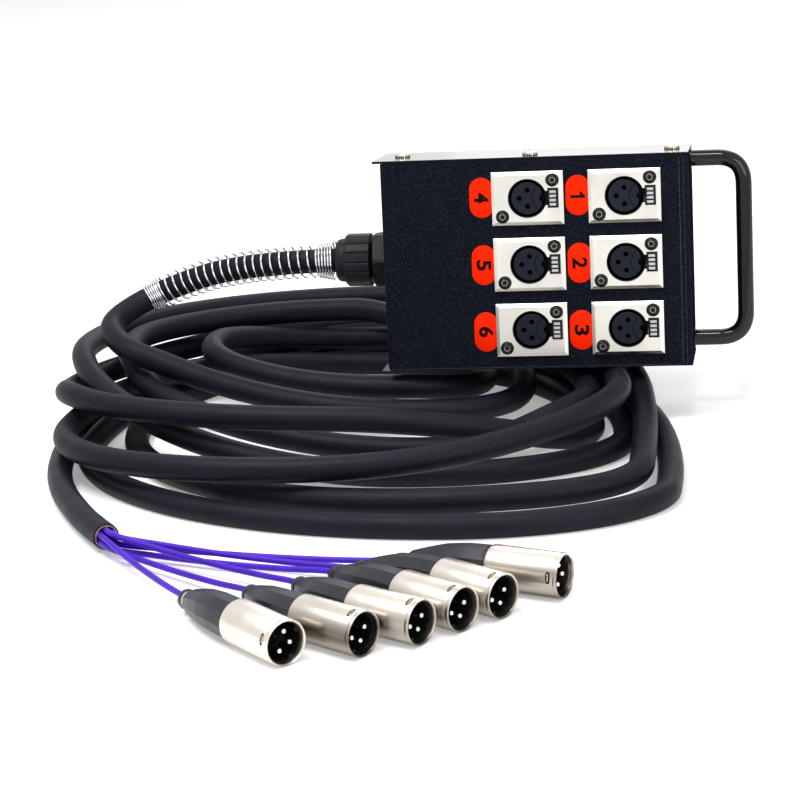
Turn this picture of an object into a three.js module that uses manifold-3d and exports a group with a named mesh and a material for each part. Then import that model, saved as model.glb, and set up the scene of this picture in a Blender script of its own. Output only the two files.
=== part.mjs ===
// A stage box snake: a steel box with six panel sockets and a carry handle, leaning back on the loose coil
// of its own multicore cable, which breaks out into six plugs. Millimetres, +Z up, sockets towards -Y.
// The pieces are laid out from the box's front bottom edge and the floor, and the whole part is then moved
// so that its origin is the middle of the box with its fittings.
import * as THREE from "three";
import { mergeVertices } from "three/addons/utils/BufferGeometryUtils.js";
import Module from "manifold-3d";

// Clearances
const seat = 0.3; // between two pieces that rest against each other
const slip = 0.3; // round a piece that slides or passes through another
const overrun = 2; // how far a cut runs past what it cuts
const weld = 0.0001; // corners closer than this are one corner

// Numbers of faces round a piece
const barrelSides = 18;
const rodSides = 10;
const holeSides = 8;
const pinSides = 6;
const hexSides = 6;
const handleSteps = 26;
const loomSteps = 5;

// Box
const boxWidth = 150;
const boxHeight = 104;
const boxDepth = 50;
const sheet = 1.5;
const rimWidth = 14;
const leanDegrees = 7;
const rearLift = 23.6;

// Lid and its screws
const lidThick = 1.2;
const lidOverhang = 4;
const lidScrewInset = 8.5;
const lidScrewDepth = 20;
const middleScrewDepth = 9;
const middleScrewX = -2;
const lidScrewHeadRadius = 3.6;
const lidScrewHeadHeight = 2.2;
const lidScrewRadius = 1.7;
const lidScrewLength = 5;

// Panel sockets
const columnPitch = 47;
const rowPitchShare = 32.3 / 104; // of the box's height, as the two below
const bottomRowShare = 19.4 / 104;
const socketFieldInset = 54.5; // from the box's right side to the middle between the columns
const flangeWidth = 35;
const flangeHeight = 26;
const flangeBaseThick = 0.8;
const flangeChamferHeight = 1.2;
const flangeChamferWidth = 1.6;
const socketBoreRadius = 9.5;
const sleeveWall = 1.5;
const sleeveLength = 16;
const flangeScrewX = 12.35;
const flangeScrewZ = 8.7;
const flangeScrewHoleRadius = 1.6;
const flangeScrewHeadRadius = 3.3;
const flangeScrewHeadSink = 1;

// Female contact insert of a socket
const insertRadius = 7.85;
const insertRecess = 0.4;
const insertLength = 20;
const collarLength = 5;
const contactCircleRadius = 3.9;
const contactHoleRadius = 1.2;
const contactHoleDepth = 10;
const keyGrooveWidth = 3;
const keyGrooveSink = 1.4;
const keyGrooveDepth = 6;

// Push tab of a socket
const tabWidth = 4.8;
const tabHeight = 9.1;
const tabOffset = 12.5;
const tabProud = 1.2;
const tabDepth = 8;
const tabEdge = 0.5;
const tabTravel = 1.5;

// Handle and its screws
const handleRodRadius = 4;
const handleReach = 26;
const handleTopInset = 5.2;
const handleBottomHeight = 10;
const handleBend = 13;
const handleScrewRadius = 2;
const handleScrewGrip = 10;
const handleScrewHeadRadius = 3.4;
const handleScrewHeadHeight = 2.4;

// Cable gland
const glandShare = 53 / 104; // of the box's height
const glandHexFlats = 26;
const glandHexLength = 7.5;
const glandNeck = 1.7;
const glandNutRadius = 13.25;
const glandNutLength = 13.3;
const glandRibCount = 16;
const glandRibHeight = 0.9;
const glandTaperLength = 4.7;
const glandTaperRadius = 11;
const glandTipRadius = 9.5;
const glandStemRadius = 9;
const glandStemInside = 8;
const glandStemOutside = 11.4;
const glandNutWall = 2.6;
const locknutThick = 3.5;
const locknutFlats = 25;
const sealLength = 3;

// Multicore cable and its inner cores
const cableRadius = 6;
const coreRadius = 1.35;
const coreCount = 6;
const coreSides = 8;
const coreCircleRadius = 3.4;
const trunkInside = 17;
const stubRadius = 5.4;
const stubLength = 4;

// Strain relief spring
const wireRadius = 0.5;
const springStart = 0.4;
const closedCurls = 5;
const openCurls = 18;
const mouthPitch = 1.7;
const openPitch = 4.9;
const endPitch = 2.2;
const springMouthRadius = 9.6; // of the wire's middle line at the gland, along the spring and at its far end
const springBodyRadius = 8;
const springEndRadius = 7.1;
const curlSteps = 8;
const wireSides = 5;

// Coil of the cable. Each turn runs counterclockwise, seen from above, through a place at its left, front,
// right and back. A layer share of 1 lifts the cable by one layer.
const coilPlaces = [
  [[-222, 8], [-60.2, -11], [-7.8, 37.2], [-71.5, 108]],
  [[-175, 51.3], [-71.6, 6.5], [-31.7, 49.5], [-107.9, 103.6]],
  [[-217.2, 45.7], [-45.5, -56.8], [28.3, -11.8], [-83.8, 131.8]],
  [[-235.3, 19.5], [-52.4, -88.5], [43.8, -36.7], [-84.6, 109.4]],
  [[-203.2, -2.1], [-36.1, -136.5], [51.2, -98], [-78.6, 131.3]],
  [[-229.7, -13.8], [-94.8, -75], [28.7, -8.7], [-83.6, 92.1]],
  [[-228.6, -44.2], [-104.2, -127.3], [43, -22.5], [-90.8, 122.5]],
  [[-220.6, -28.8], [-28.7, -157.8], [60.1, -117.2], [-91.1, 122.7]],
];
const coilLayerShares = [
  [3, 0.4, 0, 0.49],
  [1.78, 1.11, 0.45, 2.12],
  [1.95, 0.1, 1.21, 2.18],
  [2.4, 0, 0, 0],
  [0.03, 0.37, 0.09, 0.98],
  [1.73, 1.89, 0.05, 0.05],
  [1.04, 1.34, 2.36, 0.74],
  [0.05, 0, 0.09, 0],
];
const coilBulgeShares = [1.04, 1.27, 1.47, 1.3, 0.6, 1.2, 1, 1.01]; // how the right back quarter bends
const coilEnd = [-231, -14];
const flatShare = 0.1; // of the cable's diameter, pressed flat where the coil rests on the floor
const layerGap = 0.9;
const strandGap = 2.8;
const boxGap = 0.4;
const boxMargin = 12;
const strandReach = 6;
const coilSides = 6;
const coilSteps = 24;
const fineShare = 4; // fine steps to one step of the coil
const firstCoilStep = 2; // the lead takes up the first two steps
const settleRounds = 400;
const pairRounds = 25;
const pushShare = 0.16;
const smoothShare = 0.35;
const keepShare = 0.997;
const smoothPasses = 3;
const neighbourSteps = 12;

// Free stretches of the cable, between the gland and the coil and between the coil and the breakout
const leadRoute = [
  [-112, 31.3, 79.2], [-131, 33.5, 77.9], [-150, 38.5, 75.3], [-169, 43, 71.3], [-186, 46, 65.8],
  [-200, 46.5, 60.4], [-213, 40, 55], [-220.5, 27, 50.3], [-217, 13.5, 47],
];
const tailRoute = [
  [-232.5, -32, 4.8], [-229.5, -56, 4.9], [-223, -84, 5.4], [-213.5, -110, 6], [-203, -131, 6.3],
  [-191.5, -151, 6.6], [-177.5, -172, 7.2],
];
const leadSteps = 18;
const tailSteps = 8;

// Plugs: the middle of each mouth, the heading of the shell and of the boot's end, and the roll of the pins
const plugPlaces = [
  [-73, -298.6], [-44, -289.4], [-22.8, -278], [-8, -264.6], [6.6, -251], [29.4, -229],
];
const plugHeadingDegrees = [-44, -33, -30, -35, -35, -20];
const bootHeadingDegrees = [-52, -60, -58, -46, -25, -19];
const plugRollDegrees = [70, 15, 15, 15, 15, 78];
const shellRadius = 9.5;
const shellWall = 1.1;
const shellLength = 33;
const shellMouthDepth = 18;
const shellBackRadius = 7.6;
const latchSlotWidth = 5;
const latchSlotLength = 2;
const latchSlotBack = 2.5;
const pinDiscLength = 3.5;
const pinRadius = 1.2;
const pinCircleRadius = 4;
const pinRecess = 2.5;
const pinTipLength = 0.8;
const solderCupLength = 4;
const solderCupRadius = 0.9;
const bootLength = 44;
const bootCollarLength = 8;
const bootCollarRadius = 7.2;
const bootRadius = 9;
const bootRingLength = 3;
const bootDrop = 3.5;
const bootRadiusShares = [0.98, 0.9, 0.72, 0.5]; // at the ends of its steps, as the next
const bootDropShares = [0.05, 0.25, 0.6, 1];
const bootSides = 12;

// Breakout cores, nearly straight from the cable's end to each plug's boot, and the angle at which each
// one starts round the cable's end, from its right side upwards
const coreStraight = 4;
const coreSag = 1.5;
const coreBends = 5;
const coreStartDegrees = [30, 330, 90, 270, 150, 210];
const coreSteps = 9;

// Finishes
const finishes = {
  powderCoat: { color: 0x17181b, roughness: 0.75, metalness: 0.1 },
  satinNickel: { color: 0xd9d7cf, roughness: 0.35, metalness: 0.85 },
  brassyNickel: { color: 0xc9b98f, roughness: 0.3, metalness: 0.9 },
  insertPlastic: { color: 0x26282e, roughness: 0.5, metalness: 0 },
  blackPlastic: { color: 0x141417, roughness: 0.5, metalness: 0 },
  glossBlack: { color: 0x101114, roughness: 0.2, metalness: 0.3 },
  brightSteel: { color: 0xdedede, roughness: 0.15, metalness: 1 },
  cableJacket: { color: 0x25262c, roughness: 0.55, metalness: 0 },
  violetJacket: { color: 0x5a20c8, roughness: 0.45, metalness: 0 },
  braid: { color: 0x9a7355, roughness: 0.6, metalness: 0.3 },
  rubber: { color: 0x17181a, roughness: 0.8, metalness: 0 },
};

// Derived sizes
const lean = THREE.MathUtils.degToRad(leanDegrees);
const trayHeight = boxHeight - lidThick - seat;
const frontLift = rearLift + boxDepth * Math.sin(lean);
const midDepth = boxDepth / 2;
const socketFieldX = boxWidth / 2 - socketFieldInset;
const rowPitch = boxHeight * rowPitchShare;
const bottomRowHeight = boxHeight * bottomRowShare;
const glandHeight = boxHeight * glandShare;
const handleTopHeight = boxHeight - handleTopInset;
const flangeThick = flangeBaseThick + flangeChamferHeight;
const sleeveRadius = socketBoreRadius + sleeveWall;
const glandTip = seat + glandHexLength + glandNeck + glandNutLength + glandTaperLength;
const cableBore = cableRadius + slip;
const restHeight = cableRadius - 2 * cableRadius * flatShare;
const layerRise = 2 * cableRadius + layerGap;

const wasm = await Module();
wasm.setup();

// A closed geometry as a solid that can be cut and joined.
function solid(geometry) {
  const bare = geometry.clone();
  bare.deleteAttribute("normal");
  bare.deleteAttribute("uv");
  const welded = mergeVertices(bare, weld);
  const vertProperties = new Float32Array(welded.attributes.position.array);
  const triVerts = new Uint32Array(welded.index.array);
  return new wasm.Manifold(new wasm.Mesh({ numProp: 3, vertProperties, triVerts }));
}

// A solid back as a geometry.
function surface(body) {
  const mesh = body.getMesh();
  const geometry = new THREE.BufferGeometry();
  geometry.setAttribute("position", new THREE.BufferAttribute(new Float32Array(mesh.vertProperties), 3));
  geometry.setIndex(new THREE.BufferAttribute(new Uint32Array(mesh.triVerts), 1));
  geometry.computeVertexNormals();
  return geometry;
}

function joined(first, ...others) {
  return others.reduce((body, other) => body.add(solid(other)), solid(first));
}

function without(body, ...cuts) {
  return cuts.reduce((rest, cut) => rest.subtract(solid(cut)), body);
}

// A block between two opposite corners.
function block(low, high) {
  const size = high.map((value, axis) => value - low[axis]);
  const geometry = new THREE.BoxGeometry(...size);
  return geometry.translate(...low.map((value, axis) => value + size[axis] / 2));
}

// A block whose face towards -Y is drawn in on all four sides.
function chamferedBlock(low, high, inset) {
  const geometry = block(low, high);
  const position = geometry.attributes.position;
  const middleX = (low[0] + high[0]) / 2;
  const middleZ = (low[2] + high[2]) / 2;
  const middleY = (low[1] + high[1]) / 2;
  for (let i = 0; i < position.count; i++) {
    if (position.getY(i) > middleY) continue;
    position.setX(i, position.getX(i) - Math.sign(position.getX(i) - middleX) * inset);
    position.setZ(i, position.getZ(i) - Math.sign(position.getZ(i) - middleZ) * inset);
  }
  return geometry;
}

// A cylinder along Y from one depth to another, at a place in the XZ plane.
function drum(radius, fromY, toY, sides, x = 0, z = 0) {
  const geometry = new THREE.CylinderGeometry(radius, radius, toY - fromY, sides);
  return geometry.translate(x, (fromY + toY) / 2, z);
}

// A turned body round the Y axis from radii and places along it, closed on itself or on the axis.
function turned(profile, sides) {
  return new THREE.LatheGeometry(profile.map(([radius, y]) => new THREE.Vector2(radius, y)), sides);
}

// A regular section for a tube.
function section(radius, sides) {
  const shape = new THREE.Shape();
  for (let i = 0; i < sides; i++) {
    const angle = ((i + 0.5) / sides) * 2 * Math.PI;
    const corner = [radius * Math.cos(angle), radius * Math.sin(angle)];
    if (i === 0) shape.moveTo(...corner);
    else shape.lineTo(...corner);
  }
  shape.closePath();
  return shape;
}

// A tube along a curve, pressed flat where it would reach below the floor.
function tube(curve, radius, sides, steps) {
  const geometry = new THREE.ExtrudeGeometry(section(radius, sides), {
    steps,
    extrudePath: curve,
    curveSegments: 1,
  });
  return onFloor(geometry);
}

function onFloor(geometry) {
  const position = geometry.attributes.position;
  for (let i = 0; i < position.count; i++) position.setZ(i, Math.max(0, position.getZ(i)));
  return geometry;
}

// A closed skin over rings of corners, each ring counterclockwise as seen from the last ring.
function skin(rings) {
  const sides = rings[0].length;
  const corners = rings.flat();
  const faces = [];
  for (let r = 0; r + 1 < rings.length; r++) {
    for (let k = 0; k < sides; k++) {
      const a = r * sides + k;
      const b = r * sides + ((k + 1) % sides);
      faces.push(a, b, b + sides, a, b + sides, a + sides);
    }
  }
  const last = (rings.length - 1) * sides;
  for (let k = 1; k + 1 < sides; k++) {
    faces.push(0, k + 1, k);
    faces.push(last, last + k, last + k + 1);
  }
  const geometry = new THREE.BufferGeometry();
  const flat = corners.flatMap((corner) => corner.toArray());
  geometry.setAttribute("position", new THREE.BufferAttribute(new Float32Array(flat), 3));
  geometry.setIndex(faces);
  geometry.computeVertexNormals();
  return geometry;
}

// One ring of corners round a centre, square to a heading, with its first flat towards up.
function ring(centre, heading, up, radius, sides) {
  const across = new THREE.Vector3().crossVectors(heading, up).normalize();
  const level = new THREE.Vector3().crossVectors(across, heading).normalize();
  const corners = [];
  for (let k = 0; k < sides; k++) {
    const angle = ((k + 0.5) / sides) * 2 * Math.PI;
    const corner = centre.clone().addScaledVector(level, radius * Math.cos(angle));
    corners.push(corner.addScaledVector(across, radius * Math.sin(angle)));
  }
  return corners;
}

const upward = new THREE.Vector3(0, 0, 1);
const part = new THREE.Group();
const box = new THREE.Group();
box.rotation.x = -lean;
box.position.z = frontLift;
part.add(box);

function addPiece(parent, name, geometry, finish) {
  const mesh = new THREE.Mesh(geometry, new THREE.MeshStandardMaterial(finishes[finish]));
  mesh.name = name;
  parent.add(mesh);
  return mesh;
}

// Middle of each socket: 1 to 3 down the right column, then 4 to 6 down the left one.
function socketPlaces() {
  const places = [];
  for (const side of [1, -1]) {
    for (let row = 2; row >= 0; row--) {
      places.push([socketFieldX + (side * columnPitch) / 2, bottomRowHeight + row * rowPitch]);
    }
  }
  return places;
}

function lidScrewPlaces() {
  const outer = boxWidth / 2 - lidScrewInset;
  return [
    ["left", -outer, lidScrewDepth],
    ["middle", middleScrewX, middleScrewDepth],
    ["right", outer, lidScrewDepth],
  ];
}

// The gland's and handle's pieces are turned round Y and laid along X.
function alongMinusX(geometry, height) {
  return geometry.rotateZ(Math.PI / 2).translate(-boxWidth / 2, midDepth, height);
}

function alongPlusX(geometry, height) {
  return geometry.rotateZ(-Math.PI / 2).translate(boxWidth / 2, midDepth, height);
}

// Cuts that a socket needs in the panel
function panelCuts([x, z]) {
  const tabX = x + tabOffset;
  const halfTab = tabWidth / 2 + slip;
  const halfTabHeight = tabHeight / 2 + slip;
  const back = sheet + overrun;
  return [
    drum(sleeveRadius + slip, -overrun, back, barrelSides, x, z),
    block([tabX - halfTab, -overrun, z - halfTabHeight], [tabX + halfTab, back, z + halfTabHeight]),
    drum(flangeScrewHoleRadius, -overrun, back, holeSides, x + flangeScrewX, z + flangeScrewZ),
    drum(flangeScrewHoleRadius, -overrun, back, holeSides, x - flangeScrewX, z - flangeScrewZ),
  ];
}

function makeTray() {
  const half = boxWidth / 2;
  const inner = half - sheet;
  const open = half - rimWidth;
  const shell = without(
    solid(block([-half, 0, 0], [half, boxDepth, trayHeight])),
    block([-inner, sheet, sheet], [inner, boxDepth - sheet, trayHeight - sheet]),
    block([-open, rimWidth, sheet], [open, boxDepth - rimWidth, trayHeight + overrun]),
  );
  const glandHole = drum(glandStemRadius + slip, -sheet - overrun, overrun, barrelSides);
  const handleHoles = [handleTopHeight, handleBottomHeight].map((height) =>
    alongPlusX(drum(handleScrewRadius + slip, -sheet - overrun, overrun, holeSides), height),
  );
  const notchHalf = handleScrewHeadRadius + slip;
  const notchDepth = handleScrewHeadHeight + 2 * seat;
  const rimNotch = block(
    [inner - notchDepth, midDepth - notchHalf, handleTopHeight],
    [inner, midDepth + notchHalf, trayHeight + overrun],
  );
  const screwHoles = lidScrewPlaces().map(([, x, y]) =>
    drum(lidScrewRadius + slip, -trayHeight - overrun, -trayHeight + sheet + overrun, holeSides)
      .rotateX(-Math.PI / 2)
      .translate(x, y, 0),
  );
  const cuts = [alongMinusX(glandHole, glandHeight), ...handleHoles, rimNotch, ...screwHoles];
  cuts.push(...socketPlaces().flatMap(panelCuts));
  addPiece(box, "box_tray", surface(without(shell, ...cuts)), "powderCoat");
}

function makeLid() {
  const half = boxWidth / 2;
  const plate = solid(block([-half - lidOverhang, 0, trayHeight + seat], [half, boxDepth, boxHeight]));
  const holes = lidScrewPlaces().map(([, x, y]) =>
    drum(lidScrewRadius + slip, -lidThick - overrun, overrun, holeSides)
      .rotateX(Math.PI / 2)
      .translate(x, y, boxHeight),
  );
  addPiece(box, "lid_plate", surface(without(plate, ...holes)), "powderCoat");
}

// Pan head and shank, turned round Y with the head's seat at zero and the head towards +Y.
function panScrew(headRadius, headHeight, shankRadius, shankLength) {
  const profile = [
    [0, -shankLength],
    [shankRadius, -shankLength],
    [shankRadius, 0],
    [headRadius, 0],
    [headRadius, headHeight / 2],
    [headRadius / 2, headHeight],
    [0, headHeight],
  ];
  return turned(profile, rodSides);
}

function makeLidScrews() {
  for (const [side, x, y] of lidScrewPlaces()) {
    const screw = panScrew(lidScrewHeadRadius, lidScrewHeadHeight, lidScrewRadius, lidScrewLength);
    screw.rotateX(Math.PI / 2).translate(x, y, boxHeight + seat);
    addPiece(box, "lid_screw_" + side, screw, "brassyNickel");
  }
}

// Flange with its sleeve, the bore for a plug, the slot for the push tab and two screw holes
function makeFlange(number, [x, z]) {
  const back = -seat;
  const face = back - flangeThick;
  const step = back - flangeBaseThick;
  const halfWidth = flangeWidth / 2;
  const halfHeight = flangeHeight / 2;
  const body = joined(
    block([-halfWidth, step, -halfHeight], [halfWidth, back, halfHeight]),
    chamferedBlock([-halfWidth, face, -halfHeight], [halfWidth, step, halfHeight], flangeChamferWidth),
    drum(sleeveRadius, step, sleeveLength, barrelSides),
  );
  const slotHalf = tabHeight / 2 + slip;
  const slotRight = tabOffset + tabWidth / 2 + slip;
  const slotEnd = tabDepth + tabTravel + slip;
  const sides = [1, -1];
  const cuts = [
    drum(socketBoreRadius, face - overrun, sleeveLength + overrun, barrelSides),
    block([0, face - overrun, -slotHalf], [slotRight, slotEnd, slotHalf]),
    ...sides.map((s) =>
      drum(flangeScrewHoleRadius, face, back + overrun, holeSides, s * flangeScrewX, s * flangeScrewZ),
    ),
    ...sides.map((s) =>
      drum(
        flangeScrewHeadRadius,
        face - overrun,
        face + flangeScrewHeadSink,
        rodSides,
        s * flangeScrewX,
        s * flangeScrewZ,
      ),
    ),
  ];
  const geometry = surface(without(body, ...cuts)).translate(x, 0, z);
  addPiece(box, "socket_flange_" + number, geometry, "satinNickel");
}

// Contact insert: a round plug with three contact holes and a key groove, held in the sleeve by its collar
function makeInsert(number, [x, z]) {
  const face = insertRecess - seat - flangeThick;
  const collarStart = sleeveLength - collarLength;
  const collarRadius = socketBoreRadius - seat;
  const body = joined(
    drum(insertRadius, face, insertLength, barrelSides),
    drum(collarRadius, collarStart, sleeveLength, barrelSides),
  );
  const holeEnd = face + contactHoleDepth;
  const circle = [
    [-contactCircleRadius, 0],
    [0, contactCircleRadius],
    [0, -contactCircleRadius],
  ];
  const holes = circle.map(([hx, hz]) =>
    drum(contactHoleRadius, face - overrun, holeEnd, holeSides, hx, hz),
  );
  const groove = block(
    [insertRadius - keyGrooveSink, face - overrun, -keyGrooveWidth / 2],
    [insertRadius + overrun, face + keyGrooveDepth, keyGrooveWidth / 2],
  );
  const geometry = surface(without(body, ...holes, groove)).translate(x, 0, z);
  addPiece(box, "socket_insert_" + number, geometry, "insertPlastic");
}

function makePushTab(number, [x, z]) {
  const face = -seat - flangeThick - tabProud;
  const halfWidth = tabWidth / 2;
  const halfHeight = tabHeight / 2;
  const tab = joined(
    block([-halfWidth, face + tabEdge, -halfHeight], [halfWidth, tabDepth, halfHeight]),
    chamferedBlock([-halfWidth, face, -halfHeight], [halfWidth, face + tabEdge, halfHeight], tabEdge),
  );
  addPiece(box, "push_tab_" + number, surface(tab).translate(x + tabOffset, 0, z), "blackPlastic");
}

// Handle rod: a leg, a bend, the grip, a bend and a leg, with a blind hole for a screw in each end
function makeHandle() {
  const root = boxWidth / 2 + seat;
  const outer = boxWidth / 2 + handleReach;
  const at = (x, z) => new THREE.Vector3(x, midDepth, z);
  const route = new THREE.CurvePath();
  const bendTop = handleTopHeight - handleBend;
  const bendBottom = handleBottomHeight + handleBend;
  const bendX = outer - handleBend;
  route.add(new THREE.LineCurve3(at(root, handleTopHeight), at(bendX, handleTopHeight)));
  route.add(
    new THREE.QuadraticBezierCurve3(
      at(bendX, handleTopHeight),
      at(outer, handleTopHeight),
      at(outer, bendTop),
    ),
  );
  route.add(new THREE.LineCurve3(at(outer, bendTop), at(outer, bendBottom)));
  route.add(
    new THREE.QuadraticBezierCurve3(
      at(outer, bendBottom),
      at(outer, handleBottomHeight),
      at(bendX, handleBottomHeight),
    ),
  );
  route.add(new THREE.LineCurve3(at(bendX, handleBottomHeight), at(root, handleBottomHeight)));
  const rod = new THREE.ExtrudeGeometry(section(handleRodRadius, rodSides), {
    steps: handleSteps,
    extrudePath: route,
  });
  const holes = [handleTopHeight, handleBottomHeight].map((height) =>
    alongPlusX(drum(handleScrewRadius + slip, -overrun, handleScrewGrip + seat, holeSides), height),
  );
  addPiece(box, "handle", surface(without(solid(rod), ...holes)), "glossBlack");
}

function makeHandleScrews() {
  const inside = sheet + seat;
  const shank = inside + handleScrewGrip;
  [
    ["upper", handleTopHeight],
    ["lower", handleBottomHeight],
  ].forEach(([end, height]) => {
    const screw = panScrew(handleScrewHeadRadius, handleScrewHeadHeight, handleScrewRadius, shank);
    screw.rotateZ(Math.PI / 2).translate(boxWidth / 2 - inside, midDepth, height);
    addPiece(box, "handle_screw_" + end, screw, "brightSteel");
  });
}

function hexRadius(flats) {
  return flats / 2 / Math.cos(Math.PI / hexSides);
}

// Gland body: hexagon outside the wall, stem through the wall and into the nut, bore for the cable
function makeGlandBody() {
  const hexEnd = seat + glandHexLength;
  const body = joined(
    drum(hexRadius(glandHexFlats), seat, hexEnd, hexSides),
    drum(glandStemRadius, -sheet - glandStemInside, hexEnd + glandStemOutside, barrelSides),
  );
  const bore = drum(
    cableBore,
    -sheet - glandStemInside - overrun,
    hexEnd + glandStemOutside + overrun,
    barrelSides,
  );
  addPiece(box, "gland_body", alongMinusX(surface(without(body, bore)), glandHeight), "blackPlastic");
}

function makeGlandLocknut() {
  const start = -sheet - seat;
  const nut = solid(drum(hexRadius(locknutFlats), start - locknutThick, start, hexSides));
  const bore = drum(glandStemRadius + slip, start - locknutThick - overrun, start + overrun, barrelSides);
  addPiece(box, "gland_locknut", alongMinusX(surface(without(nut, bore)), glandHeight), "blackPlastic");
}

// Ribbed outline of the gland's cap nut
function ribbedOutline() {
  const shape = new THREE.Shape();
  const count = glandRibCount * 2;
  for (let i = 0; i < count; i++) {
    const radius = i % 2 ? glandNutRadius - glandRibHeight : glandNutRadius;
    const angle = (i / count) * 2 * Math.PI;
    const corner = [radius * Math.cos(angle), radius * Math.sin(angle)];
    if (i === 0) shape.moveTo(...corner);
    else shape.lineTo(...corner);
  }
  shape.closePath();
  return shape;
}

function makeGlandNut() {
  const start = seat + glandHexLength + glandNeck;
  const grip = new THREE.ExtrudeGeometry(ribbedOutline(), { depth: glandNutLength, bevelEnabled: false });
  grip.rotateX(-Math.PI / 2).translate(0, start, 0);
  const gripEnd = start + glandNutLength;
  const taper = turned(
    [
      [0, gripEnd - glandNutWall],
      [glandTaperRadius, gripEnd - glandNutWall],
      [glandTaperRadius, gripEnd],
      [glandTipRadius, glandTip],
      [0, glandTip],
    ],
    barrelSides,
  );
  const hollow = drum(glandNutRadius - glandRibHeight - glandNutWall, start - overrun, gripEnd, barrelSides);
  const mouth = drum(cableBore, start - overrun, glandTip + overrun, barrelSides);
  const nut = without(joined(grip, taper), hollow, mouth);
  addPiece(box, "gland_nut", alongMinusX(surface(nut), glandHeight), "blackPlastic");
}

function makeGlandSeal() {
  const gripEnd = seat + glandHexLength + glandNeck + glandNutLength;
  const inner = glandNutRadius - glandRibHeight - glandNutWall - slip;
  const body = solid(drum(inner, gripEnd - seat - sealLength, gripEnd - seat, barrelSides));
  const bore = drum(cableBore, gripEnd - sealLength - overrun, gripEnd + overrun, barrelSides);
  addPiece(box, "gland_seal", alongMinusX(surface(without(body, bore)), glandHeight), "rubber");
}

// Wiring loom: the cable's end inside the gland and the box, and a core to the back of each socket
function makeLoom() {
  const trunkX = -boxWidth / 2 + trunkInside;
  const trunk = alongMinusX(drum(cableRadius, -trunkInside, glandTip, rodSides), glandHeight);
  const behind = (insertLength + boxDepth) / 2;
  const cores = socketPlaces().map(([x, z], i) => {
    const angle = (i / coreCount) * 2 * Math.PI;
    const y0 = midDepth + coreCircleRadius * Math.cos(angle);
    const z0 = glandHeight + coreCircleRadius * Math.sin(angle);
    const route = new THREE.CatmullRomCurve3([
      new THREE.Vector3(trunkX - trunkInside / 2, y0, z0),
      new THREE.Vector3(trunkX + coreCircleRadius, y0, z0),
      new THREE.Vector3((trunkX + x) / 2, behind, (z0 + z) / 2),
      new THREE.Vector3(x - contactCircleRadius, behind, z),
      new THREE.Vector3(x, insertLength + seat, z),
    ]);
    const outline = section(coreRadius, pinSides);
    return new THREE.ExtrudeGeometry(outline, { steps: loomSteps, extrudePath: route });
  });
  addPiece(box, "wiring_loom", surface(joined(trunk, ...cores)), "cableJacket");
}

// Even places along the ideal turns: quarter ellipses between the stations, on a fine step
function idealTurns() {
  const stations = coilPlaces.flatMap((turn, t) =>
    turn.map(([x, y], s) => [x, y, restHeight + layerRise * coilLayerShares[t][s]]),
  );
  stations.push([...coilEnd, restHeight]);
  const quarter = (coilSteps * fineShare) / 4;
  const points = [];
  for (let i = 0; i + 1 < stations.length; i++) {
    const [ax, ay, az] = stations[i];
    const [bx, by, bz] = stations[i + 1];
    const bulge = i % 4 === 2 ? coilBulgeShares[(i - 2) / 4] : 1;
    for (let k = 0; k < quarter; k++) {
      const angle = ((k / quarter) * Math.PI) / 2;
      const climb = (1 - Math.cos(2 * angle)) / 2;
      const fall = Math.cos(angle);
      const rise = Math.sin(angle);
      const z = az + (bz - az) * climb;
      if (i % 2 === 0) points.push([bx + (ax - bx) * fall ** bulge, ay + (by - ay) * rise, z]);
      else points.push([ax + (bx - ax) * rise, by + (ay - by) * fall, z]);
    }
  }
  points.push(stations.at(-1));
  return points;
}

function distance(a, b) {
  return Math.hypot(a[0] - b[0], a[1] - b[1], a[2] - b[2]);
}

// Pairs of points near enough to press on each other
function nearPairs(points, reach) {
  const pairs = [];
  for (let i = 0; i < points.length; i++) {
    for (let j = i + neighbourSteps; j < points.length; j++) {
      if (distance(points[i], points[j]) < reach) pairs.push([i, j]);
    }
  }
  return pairs;
}

// The floor holds the cable up, and the box on top of the coil holds it down.
function keepBetween(point) {
  let z = Math.max(point[2], restHeight);
  const inX = Math.abs(point[0]) < boxWidth / 2 + boxMargin;
  const inY = point[1] > -boxMargin && point[1] < boxDepth + boxMargin;
  const underside = frontLift - point[1] * Math.tan(lean) - cableRadius - boxGap;
  if (inX && inY) z = Math.min(z, underside);
  return z;
}

// Strands that are too close press each other aside, and the shift is evened out along the cable.
function settledTurns() {
  const ideal = idealTurns();
  const last = ideal.length - 1;
  const room = 2 * cableRadius + strandGap;
  let shift = ideal.map(() => [0, 0, 0]);
  let points = ideal;
  let pairs = [];
  for (let round = 0; round < settleRounds; round++) {
    if (round % pairRounds === 0) pairs = nearPairs(points, room + strandReach);
    const push = shift.map((s) => [...s]);
    for (const [i, j] of pairs) {
      const apart = distance(points[i], points[j]);
      if (apart >= room) continue;
      const share = ((room - apart) / apart) * pushShare;
      for (let a = 0; a < 3; a++) {
        push[i][a] += (points[i][a] - points[j][a]) * share;
        push[j][a] -= (points[i][a] - points[j][a]) * share;
      }
    }
    shift = push;
    for (let pass = 0; pass < smoothPasses; pass++) {
      shift = shift.map((s, i) => {
        if (i === 0 || i === last) return s;
        return s.map((v, a) => v + smoothShare * ((shift[i - 1][a] + shift[i + 1][a]) / 2 - v));
      });
    }
    points = ideal.map((p, i) => p.map((v, a) => v + shift[i][a] * keepShare));
    for (const point of points) point[2] = keepBetween(point);
    shift = points.map((p, i) => p.map((v, a) => v - ideal[i][a]));
  }
  return points;
}

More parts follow.
